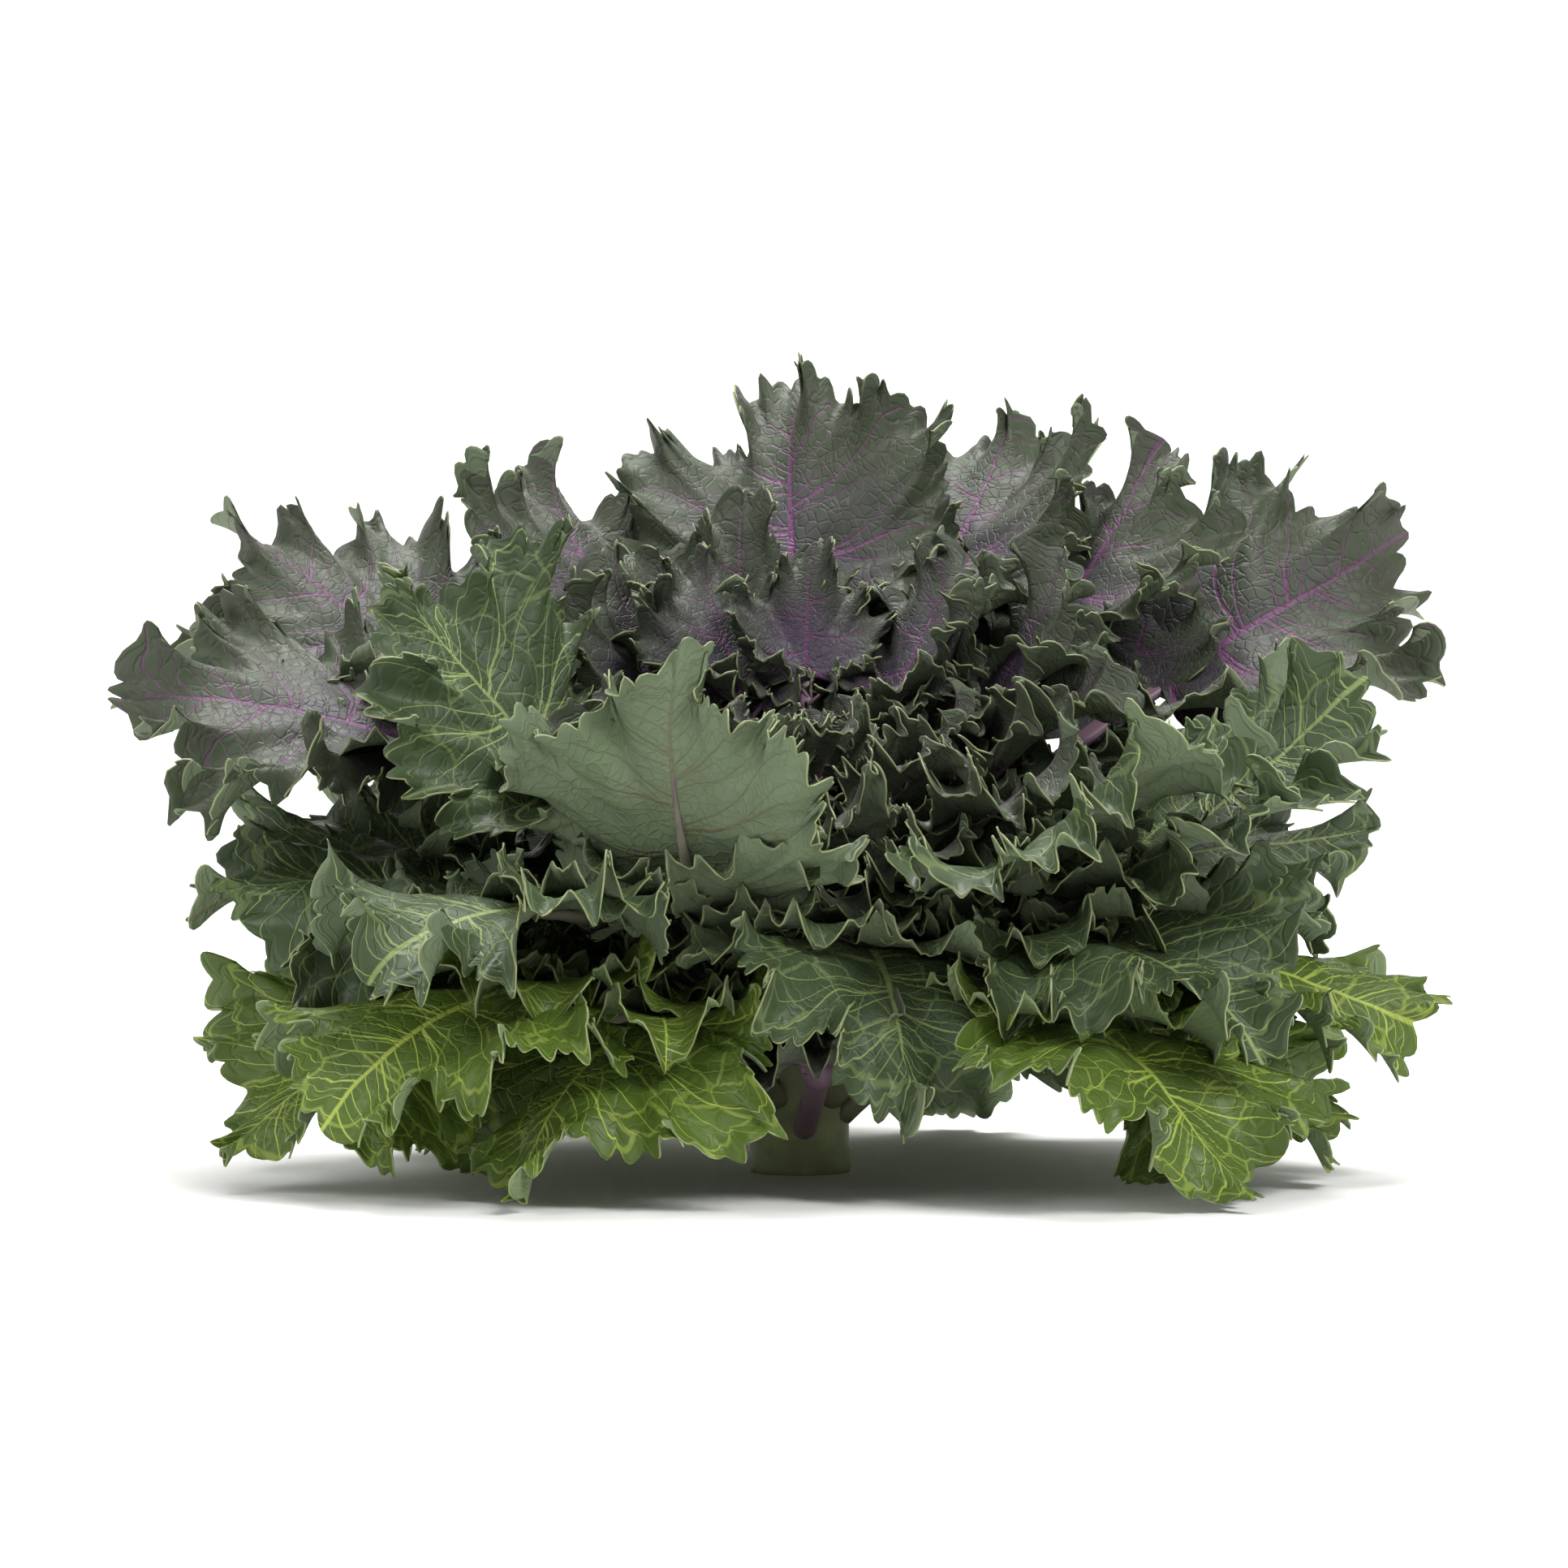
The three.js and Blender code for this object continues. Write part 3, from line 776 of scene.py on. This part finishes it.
def vein_mask(tree, across, along, reach):
    """Adds the mask of the midrib, the side veins and their branches on a blade, 1 on a vein."""
    side = node(tree, "Math", {0: across}, operation="ABSOLUTE")
    spread = node(tree, "Math", {0: side, 1: VEIN_FAN, 2: 1}, operation="MULTIPLY_ADD")
    root = node(tree, "Math", {0: side, 1: VEIN_BACK, 2: along}, operation="MULTIPLY_ADD")
    root = node(tree, "Math", {0: root, 1: spread}, operation="DIVIDE")
    slope = node(tree, "Math", {0: root, 1: VEIN_FAN, 2: -VEIN_BACK}, operation="MULTIPLY_ADD")
    steep = node(tree, "Math", {0: slope, 1: slope, 2: 1}, operation="MULTIPLY_ADD")
    steep = node(tree, "Math", {0: steep}, operation="SQRT")
    scale = node(tree, "Math", {0: spread, 1: steep}, operation="DIVIDE")
    sway = node(tree, "Math", {0: side, 1: VEIN_SWAY_RATE}, operation="MULTIPLY")
    sway = node(tree, "Math", {0: sway}, operation="SINE")
    root = node(tree, "Math", {0: sway, 1: VEIN_SWAY, 2: root}, operation="MULTIPLY_ADD")
    hand = node(tree, "Math", {0: across}, operation="SIGN")
    root = node(tree, "Math", {0: hand, 1: VEIN_STEP / 4, 2: root}, operation="MULTIPLY_ADD")
    away = node(tree, "Math", {0: root, 1: VEIN_STEP / 2}, operation="PINGPONG")
    nearest = node(tree, "Math", {0: away, 1: scale}, operation="MULTIPLY")
    midrib = node(tree, "Math", {0: side, 1: MIDRIB_BREADTH}, operation="DIVIDE")
    nearest = node(tree, "Math", {0: nearest, 1: midrib}, operation="MINIMUM")
    for start, end, share, width in BRANCHES:
        place = node(tree, "MapRange", {
            "Value": reach, "From Min": start, "From Max": end, "To Max": VEIN_STEP / 2 * share})
        apart = node(tree, "Math", {0: away, 1: place}, operation="SUBTRACT")
        apart = node(tree, "Math", {0: apart}, operation="ABSOLUTE")
        apart = node(tree, "Math", {0: apart, 1: scale}, operation="MULTIPLY")
        apart = node(tree, "Math", {0: apart, 1: width}, operation="DIVIDE")
        nearest = node(tree, "Math", {0: nearest, 1: apart}, operation="MINIMUM")
    width = node(tree, "MapRange", {
        "Value": reach, "To Min": VEIN_WIDTHS[0], "To Max": VEIN_WIDTHS[1]})
    share = node(tree, "Math", {0: nearest, 1: width}, operation="DIVIDE")
    return node(tree, "MapRange", {
        "Value": share, "From Min": VEIN_CORE, "From Max": 1, "To Min": 1, "To Max": 0},
        interpolation_type="SMOOTHSTEP")


def blade_material(name, looks):
    """A leaf face: a blade that shifts from its foot to its margin under a waxy bloom, with veins."""
    material, tree, surface = new_material(name)
    flat = node(tree, "Attribute", {}, attribute_name="leaf").outputs["Vector"]
    across, along, reach = node(tree, "SeparateXYZ", {0: flat}).outputs
    veins = vein_mask(tree, across, along, reach)

    # Patterns lie on the flat leaf in millimetres, and each leaf has its own stretch of them.
    chance = node(tree, "ObjectInfo", {}).outputs["Random"]
    layer = node(tree, "Math", {0: chance, 1: PATTERN_SPAN}, operation="MULTIPLY")
    place = node(tree, "CombineXYZ", {0: across, 1: along, 2: layer})
    warp = node(tree, "TexNoise", {"Vector": place, "Scale": 1 / WARP_SIZE, "Detail": 1})
    pulled = node(tree, "VectorMath", {
        0: warp.outputs["Color"], 1: (WARP_REACH, WARP_REACH, 0), 2: place}, operation="MULTIPLY_ADD")
    cells = node(tree, "TexVoronoi", {"Vector": pulled, "Scale": 1 / looks["net_size"]},
                 feature="DISTANCE_TO_EDGE")
    net = node(tree, "MapRange", {
        "Value": cells, "From Min": NET_LINE[0], "From Max": NET_LINE[1], "To Min": 1, "To Max": 0},
        interpolation_type="SMOOTHSTEP")
    cells = node(tree, "TexVoronoi", {
        "Vector": pulled, "Scale": FINE_NET_CELLS / looks["net_size"]}, feature="DISTANCE_TO_EDGE")
    fine = node(tree, "MapRange", {
        "Value": cells, "From Min": FINE_NET_LINE[0], "From Max": FINE_NET_LINE[1],
        "To Min": 1, "To Max": 0}, interpolation_type="SMOOTHSTEP")
    broad = node(tree, "TexNoise", {"Vector": place, "Scale": 1 / BROAD_SIZE, "Detail": 3})
    dusty = node(tree, "TexNoise", {"Vector": place, "Scale": 1 / DUST_SIZE, "Detail": 5})

    # Colours, from the blade's own to what lies over it.
    age = node(tree, "Math", {0: broad, 1: BLUSH_DRIFT, 2: reach}, operation="MULTIPLY_ADD")
    age = node(tree, "MapRange", {
        "Value": age, "From Min": looks["blush"][0] + BLUSH_DRIFT / 2,
        "From Max": looks["blush"][1] + BLUSH_DRIFT / 2}, interpolation_type="SMOOTHSTEP")
    blade = node(tree, "Mix", {
        0: age, 6: opaque(looks["foot"]), 7: opaque(looks["blade"])}, data_type="RGBA")
    shade = node(tree, "MapRange", {
        "Value": broad, "From Min": SHADE_PATCH[0], "From Max": SHADE_PATCH[1], "To Max": SHADE_SHARE},
        interpolation_type="SMOOTHSTEP")
    fine_lines = node(tree, "Math", {0: fine, 1: looks["fine"]}, operation="MULTIPLY")
    net_lines = node(tree, "Math", {0: net, 1: looks["net_share"]}, operation="MULTIPLY")
    bloom = node(tree, "MapRange", {
        "Value": dusty, "From Min": BLOOM_PATCH[0], "From Max": BLOOM_PATCH[1],
        "To Min": BLOOM_LEAST * looks["bloom_share"], "To Max": looks["bloom_share"]},
        interpolation_type="SMOOTHSTEP")
    outward = node(tree, "MapRange", {"Value": reach, "From Min": VEIN_FADE_START},
                   interpolation_type="SMOOTHSTEP")
    vein = node(tree, "Mix", {
        0: outward, 6: opaque(looks["vein"]), 7: opaque(looks["vein_end"])}, data_type="RGBA")
    vein_lines = node(tree, "Math", {0: veins, 1: looks["vein_share"]}, operation="MULTIPLY")
    spots = node(tree, "TexVoronoi", {"Vector": place, "Scale": 1 / SPOT_SPACING})
    spots = node(tree, "MapRange", {
        "Value": spots, "From Min": SPOT_EDGE[0], "From Max": SPOT_EDGE[1],
        "To Min": looks["spots"], "To Max": 0}, interpolation_type="SMOOTHSTEP")
    for share, over in (
        (shade, opaque(looks["shade"])), (fine_lines, opaque(looks["net"])),
        (net_lines, opaque(looks["net"])), (bloom, opaque(looks["bloom"])),
        (vein_lines, vein), (spots, opaque(looks["spot"])),
    ):
        blade = node(tree, "Mix", {0: share, 6: blade, 7: over}, data_type="RGBA")

    # Relief of the veins and the net, and a gloss that the bloom breaks up.
    relief = node(tree, "Math", {0: net, 1: NET_RELIEF, 2: fine}, operation="MULTIPLY_ADD")
    relief = node(tree, "Math", {0: veins, 1: VEIN_RELIEF, 2: relief},
                  operation="MULTIPLY_ADD")
    relief = node(tree, "Math", {0: relief, 1: looks["relief"]}, operation="MULTIPLY")
    relief = node(tree, "Math", {0: dusty, 1: DUST_RELIEF, 2: relief},
                  operation="MULTIPLY_ADD")
    bump = node(tree, "Bump", {
        "Height": relief, "Strength": LEAF_BUMP, "Distance": LEAF_BUMP_HEIGHT})
    rough = node(tree, "MapRange", {
        "Value": dusty, "From Min": GLOSS_PATCH[0], "From Max": GLOSS_PATCH[1],
        "To Min": looks["rough"] + GLOSS_SPREAD[0], "To Max": looks["rough"] + GLOSS_SPREAD[1]})
    shader = node(tree, "BsdfPrincipled", {
        "Base Color": blade, "Roughness": rough, "Normal": bump, "IOR": SKIN_IOR,
        "Specular IOR Level": looks["gloss"], "Sheen Weight": looks["sheen"],
        "Sheen Roughness": SHEEN_ROUGHNESS, "Sheen Tint": opaque(looks["bloom"])})
    tree.links.new(shader.outputs[0], surface)
    return material


def plain_material(name, looks):
    """A plain grown skin: two colours that drift into each other over a few millimetres."""
    material, tree, surface = new_material(name)
    place = node(tree, "TexCoord", {}).outputs["Object"]
    drift = node(tree, "TexNoise", {
        "Vector": place, "Scale": 1 / (looks["grain"] * MM), "Detail": 4})
    share = node(tree, "MapRange", {
        "Value": drift, "From Min": DRIFT_PATCH[0], "From Max": DRIFT_PATCH[1]},
        interpolation_type="SMOOTHSTEP")
    skin = node(tree, "Mix", {
        0: share, 6: opaque(looks["skin"]), 7: opaque(looks["drift"])}, data_type="RGBA")
    bump = node(tree, "Bump", {
        "Height": drift, "Strength": PLAIN_BUMP, "Distance": PLAIN_BUMP_HEIGHT})
    shader = node(tree, "BsdfPrincipled", {
        "Base Color": skin, "Roughness": looks["rough"], "Normal": bump, "IOR": SKIN_IOR})
    tree.links.new(shader.outputs[0], surface)
    return material


def blend(first, second, share):
    """A colour between two."""
    return tuple(a + (b - a) * share for a, b in zip(first, second))


def leaf_materials(slot):
    """Upper face, underside, rim and stalk of the leaves of one age."""
    if f"{slot} waxy upper face" in bpy.data.materials:
        names = ("waxy upper face", "matt underside", "cut-thin rim", "smooth stalk")
        return [bpy.data.materials[f"{slot} {name}"] for name in names]
    look = LEAF_LOOKS[slot]
    colours = bpy.context.scene.kale_colours
    blade = tuple(getattr(colours, slot))
    vein = tuple(getattr(colours, slot.replace("leaf", "vein")))
    blush, bloom, rim = tuple(colours.heart_blush), tuple(colours.bloom), tuple(colours.rim)
    # Waxy upper skin of a leaf: satin, with a grey bloom that hides the gloss in patches.
    upper = blade_material(f"{slot} waxy upper face", {
        "blade": blade, "foot": blend(blade, blush, look["blush"]), "blush": look["blush_reach"],
        "shade": blend(blade, linear(LEAF_SHADE), UPPER_SHADE),
        "net": blend(blade, vein, look["net_colour"]),
        "net_size": look["net_size"], "net_share": look["net_share"], "fine": look["fine"],
        "bloom": bloom, "bloom_share": look["bloom"], "vein": vein,
        "vein_end": blend(vein, blade, look["vein_fade"]), "vein_share": VEIN_SHARE,
        "spots": look["spots"], "spot": linear(SPOT_COLOUR), "relief": -1, "rough": look["rough"],
        "gloss": UPPER_GLOSS, "sheen": look["sheen"]})
    # Underside: paler, matt and dusted all over, with veins that stand proud of it.
    pale = blend(blade, linear(UNDER_PALE), look["pale"])
    under_vein = blend(vein, linear(look["under_vein"]), UNDER_VEIN)
    under = blade_material(f"{slot} matt underside", {
        "blade": pale, "foot": blend(pale, blush, UNDER_BLUSH * look["blush"]), "blush": (0.1, 0.6),
        "shade": blend(pale, linear(LEAF_SHADE), UNDER_SHADE),
        "net": blend(pale, under_vein, UNDER_NET),
        "net_size": 10, "net_share": 0.5, "fine": 0.1, "bloom": bloom, "bloom_share": 0.2,
        "vein": under_vein, "vein_end": blend(under_vein, pale, UNDER_VEIN_FADE),
        "vein_share": VEIN_SHARE,
        "spots": 0, "spot": blade, "relief": 1, "rough": 0.6, "gloss": 0.4, "sheen": 0.1})
    # Rim: the blade's bare edge, pale where light comes through it.
    edge = plain_material(f"{slot} cut-thin rim", {
        "skin": blend(rim, blade, look["rim_fade"]),
        "drift": blend(rim, blade, RIM_DRIFT + look["rim_fade"]), "grain": 5, "rough": 0.5})
    # Stalk: smooth and fleshy, green with a purple flush.
    stalk = plain_material(f"{slot} smooth stalk", {
        "skin": blend(tuple(colours.stalk), blade, look["stalk_green"]),
        "drift": blend(tuple(colours.stalk), tuple(colours.stem), look["stalk_green"]),
        "grain": 22, "rough": 0.42})
    return [upper, under, edge, stalk]


def add_whorl(name):
    """Builds every leaf of a whorl as a piece of its own."""
    style = WHORLS[name]
    materials = leaf_materials(style["slot"])
    settings = bpy.context.scene.kale_leaf
    for number, (bearing, height, rise, end, stalk, blade, roll) in enumerate(style["leaves"]):
        foot = stem_side(bearing, height)
        leaf = Leaf(style, number, foot, bearing, (rise, end), (stalk, blade), roll, settings)
        mesh = bmesh.new()
        add_leaf(mesh, leaf)
        if stalk > blade / 2:
            for place, (above, hand, size) in enumerate(LEAFLETS):
                leaflet = leaf.leaflet(number * len(LEAFLETS) + place, above, hand, size)
                add_leaf(mesh, leaflet)
        finish_piece(mesh, f"{name}_{number + 1}", materials)


def add_rosette(mesh, name, core):
    """Adds a tight rosette of small leaves round a bud."""
    style = ROSETTES[name]
    settings = bpy.context.scene.kale_leaf
    bud = bmesh.ops.create_uvsphere(mesh, u_segments=BUD_SIDES, v_segments=BUD_SIDES // 2,
                                    radius=style["core_radius"] * MM)["verts"]
    bmesh.ops.translate(mesh, verts=bud, vec=in_place(core))
    for face in faces_of(bud):
        face.material_index = STALK
    for number in range(style["count"]):
        age = number / (style["count"] - 1)
        bearing = style["first_bearing"] + degrees(number * GOLDEN_ANGLE)
        slopes = between(style["rise"], age), between(style["end"], age)
        sizes = between(style["stalk"], age), between(style["blade"], age)
        foot = core + Vector((0, 0, BUD_STEP * number))
        add_leaf(mesh, Leaf(style, number, foot, bearing, slopes, sizes, 0, settings))


class KALE_OT_stem(bpy.types.Operator):
    """Build the stem with its leaf scars and its cut end"""

    bl_idname = "kale.stem"
    bl_label = "Stem"

    def execute(self, context):
        mesh = bmesh.new()
        made = bmesh.ops.create_cone(
            mesh, cap_ends=True, segments=STEM_SIDES, radius1=1, radius2=1, depth=1)["verts"]
        bmesh.ops.translate(mesh, verts=made, vec=(0, 0, 0.5))
        sides = [edge for edge in mesh.edges if abs(edge.verts[0].co.z - edge.verts[1].co.z) > 0.5]
        bmesh.ops.subdivide_edges(mesh, edges=sides, cuts=STEM_RINGS, use_grid_fill=True)
        scars = []
        for number in range(SCAR_COUNT):
            height = between((SCAR_FIRST_HEIGHT, SCAR_LAST_HEIGHT), number / (SCAR_COUNT - 1))
            scars.append((number * GOLDEN_ANGLE, height))
        for vert in mesh.verts:
            height = vert.co.z * STEM_HEIGHT
            turn = atan2(vert.co.y, vert.co.x)
            knobs = noise.noise(Vector((
                STEM_KNOB_TURNS * cos(turn), STEM_KNOB_TURNS * sin(turn), height / STEM_KNOB_HEIGHT)))
            radius = stem_radius(height) + STEM_KNOBS * knobs
            for bearing, scar_height in scars:
                apart = (turn - bearing + pi) % tau - pi
                across = apart * radius / SCAR_HALF_WIDTH
                up = (height - scar_height + across * across) / SCAR_HALF_HEIGHT
                ring = hypot(across, up)
                radius += SCAR_SWELL * exp(-((ring - 1) / SCAR_RIDGE) ** 2)
            vert.co = in_place(Vector((radius * cos(turn), radius * sin(turn), height)))
        for face in mesh.faces:
            face.material_index = 1 if len(face.verts) > 4 else 0
        stem = tuple(context.scene.kale_colours.stem)
        # Kale stem: pale woody green, smooth with a dry bloom.
        skin = plain_material("kale stem skin", {
            "skin": stem, "drift": blend(stem, linear(STEM_DRIFT_COLOUR), STEM_DRIFT),
            "grain": 9, "rough": 0.55})
        # Cut end: wet white-green pith with fibres.
        pith = plain_material("kale stem cut pith", {
            "skin": linear(PITH_COLOUR), "drift": linear(PITH_DRIFT_COLOUR),
            "grain": 2.5, "rough": 0.4})
        finish_piece(mesh, "stem", [skin, pith])
        return {"FINISHED"}


class KALE_OT_low_leaves(bpy.types.Operator):
    """Build the old green leaves that hang lowest"""

    bl_idname = "kale.low_leaves"
    bl_label = "Low leaves"

    def execute(self, context):
        add_whorl("low_leaf")
        return {"FINISHED"}


class KALE_OT_spread_leaves(bpy.types.Operator):
    """Build the green leaves that spread over the low ones"""

    bl_idname = "kale.spread_leaves"
    bl_label = "Spreading leaves"

    def execute(self, context):
        add_whorl("spread_leaf")
        return {"FINISHED"}


class KALE_OT_outer_leaves(bpy.types.Operator):
    """Build the tall bloomed leaves at the sides and the back"""

    bl_idname = "kale.outer_leaves"
    bl_label = "Outer leaves"

    def execute(self, context):
        add_whorl("outer_leaf")
        return {"FINISHED"}


class KALE_OT_middle_leaves(bpy.types.Operator):
    """Build the dark frilled leaves round the heart"""

    bl_idname = "kale.middle_leaves"
    bl_label = "Middle leaves"

    def execute(self, context):
        add_whorl("middle_leaf")
        return {"FINISHED"}


class KALE_OT_inner_leaves(bpy.types.Operator):
    """Build the small purple leaves next to the heart"""

    bl_idname = "kale.inner_leaves"
    bl_label = "Inner leaves"

    def execute(self, context):
        add_whorl("inner_leaf")
        return {"FINISHED"}


class KALE_OT_heart(bpy.types.Operator):
    """Build the tight heart on top of the stem"""

    bl_idname = "kale.heart"
    bl_label = "Heart"

    def execute(self, context):
        mesh = bmesh.new()
        core = Vector((0, 0, STEM_HEIGHT + HEART_GAP + ROSETTES["heart"]["core_radius"]))
        add_rosette(mesh, "heart", core)
        finish_piece(mesh, "heart", leaf_materials("purple_leaf"))
        return {"FINISHED"}


class KALE_OT_side_shoot(bpy.types.Operator):
    """Build the side shoot low at the front"""

    bl_idname = "kale.side_shoot"
    bl_label = "Side shoot"

    def execute(self, context):
        mesh = bmesh.new()
        foot = stem_side(SHOOT_BEARING, SHOOT_HEIGHT)
        along = direction(SHOOT_BEARING, SHOOT_RISE)
        side = direction(SHOOT_BEARING + 90, 0)
        upper = along.cross(side)

        def on_stalk(vert, u, v):
            middle = foot + along * between((-STALK_ENTRY, SHOOT_REACH), v)
            return in_place(middle + (side * cos(tau * u) + upper * sin(tau * u)) * SHOOT_RADIUS)

        rod = bent_grid(mesh, STALK_SIDES, SHOOT_ROWS, on_stalk)
        close_rod(mesh, rod, STALK)
        add_rosette(mesh, "side_shoot", foot + along * SHOOT_REACH)
        finish_piece(mesh, "side_shoot", leaf_materials("purple_leaf"))
        return {"FINISHED"}


class KALE_OT_stage(bpy.types.Operator):
    """Set the floor, the lamps and the camera"""

    bl_idname = "kale.stage"
    bl_label = "Stage"

    def execute(self, context):
        stage = context.scene.kale_stage
        floor_height = CAD_BOX[0].z
        mesh = bmesh.new()
        flat = SWEEP_BACK - SWEEP_FRONT
        bend = SWEEP_RADIUS * pi / 2
        run = flat + bend + SWEEP_HEIGHT

        def on_sweep(vert, u, v):
            x = SWEEP_HALF_WIDTH * (2 * u - 1)
            gone = v * run
            turn = min(max((gone - flat) / SWEEP_RADIUS, 0), pi / 2)
            y = SWEEP_FRONT + min(gone, flat) + SWEEP_RADIUS * sin(turn)
            z = SWEEP_RADIUS * (1 - cos(turn)) + max(gone - flat - bend, 0)
            return Vector((x, y, floor_height + z))

        bent_grid(mesh, SWEEP_COLUMNS, SWEEP_ROWS, on_sweep)
        for face in mesh.faces:
            face.smooth = True
        data = bpy.data.meshes.new("paper_sweep")
        mesh.to_mesh(data)
        mesh.free()
        # Studio paper: matt and almost white.
        paper, tree, surface = new_material("matt studio paper")
        shader = node(tree, "BsdfPrincipled", {
            "Base Color": opaque(stage.floor), "Roughness": 0.9, "Specular IOR Level": 0.2})
        tree.links.new(shader.outputs[0], surface)
        data.materials.append(paper)
        sweep = bpy.data.objects.new("paper_sweep", data)
        context.scene.collection.objects.link(sweep)

        aim = Vector((STEM_FOOT.x, STEM_FOOT.y, floor_height + stage.aim_height))
        for name, (place, size, watts) in LAMPS.items():
            light = bpy.data.lights.new(name, "AREA")
            light.shape = "DISK"
            light.size = size
            light.energy = watts * stage.light
            lamp = bpy.data.objects.new(name, light)
            lamp.location = aim + Vector(place)
            facing = BACKDROP_AIM if name == "backdrop_lamp" else aim
            lamp.rotation_euler = (facing - lamp.location).to_track_quat("-Z", "Y").to_euler()
            context.scene.collection.objects.link(lamp)
        world = bpy.data.worlds.new("studio_air")
        world.use_nodes = True
        air = world.node_tree.nodes["Background"]
        air.inputs["Color"].default_value = (1, 1, 1, 1)
        air.inputs["Strength"].default_value = AIR_STRENGTH
        context.scene.world = world
        context.scene.view_settings.view_transform = "Standard"

        data = bpy.data.cameras.new("camera")
        data.sensor_width = SENSOR_WIDTH
        data.lens = SENSOR_WIDTH * stage.distance / stage.field
        camera = bpy.data.objects.new("camera", data)
        camera.location = (0, -stage.distance, floor_height + stage.eye_height)
        target = Vector((0, 0, floor_height + stage.aim_height))
        camera.rotation_euler = (target - camera.location).to_track_quat("-Z", "Y").to_euler()
        context.scene.collection.objects.link(camera)
        context.scene.camera = camera
        return {"FINISHED"}


OPERATORS = (
    KALE_OT_stem, KALE_OT_low_leaves, KALE_OT_spread_leaves, KALE_OT_outer_leaves,
    KALE_OT_middle_leaves, KALE_OT_inner_leaves, KALE_OT_heart, KALE_OT_side_shoot, KALE_OT_stage,
)


class KALE_PT_panel(bpy.types.Panel):
    """Lists the pieces of the bunch and their settings"""

    bl_idname = "KALE_PT_panel"
    bl_label = "Purple kale bunch"
    bl_space_type = "VIEW_3D"
    bl_region_type = "UI"
    bl_category = "Kale"

    def draw(self, context):
        scene = context.scene
        for settings in (scene.kale_leaf, scene.kale_colours, scene.kale_stage):
            box = self.layout.box()
            for name in settings.__annotations__:
                box.prop(settings, name)
        for operator in OPERATORS:
            self.layout.operator(operator.bl_idname)


CLASSES = (KaleLeafSettings, KaleColours, KaleStage, *OPERATORS, KALE_PT_panel)


def register():
    """Registers the settings, the operators and the panel."""
    for cls in CLASSES:
        bpy.utils.register_class(cls)
    bpy.types.Scene.kale_leaf = bpy.props.PointerProperty(type=KaleLeafSettings)
    bpy.types.Scene.kale_colours = bpy.props.PointerProperty(type=KaleColours)
    bpy.types.Scene.kale_stage = bpy.props.PointerProperty(type=KaleStage)


def unregister():
    """Takes the settings, the operators and the panel out again."""
    del bpy.types.Scene.kale_stage
    del bpy.types.Scene.kale_colours
    del bpy.types.Scene.kale_leaf
    for cls in reversed(CLASSES):
        bpy.utils.unregister_class(cls)


def main():
    """Builds the bunch piece by piece."""
    register()
    bpy.ops.kale.stem()
    bpy.ops.kale.low_leaves()
    bpy.ops.kale.spread_leaves()
    bpy.ops.kale.outer_leaves()
    bpy.ops.kale.middle_leaves()
    bpy.ops.kale.inner_leaves()
    bpy.ops.kale.heart()
    bpy.ops.kale.side_shoot()
    bpy.ops.kale.stage()


if __name__ == "__main__":
    main()
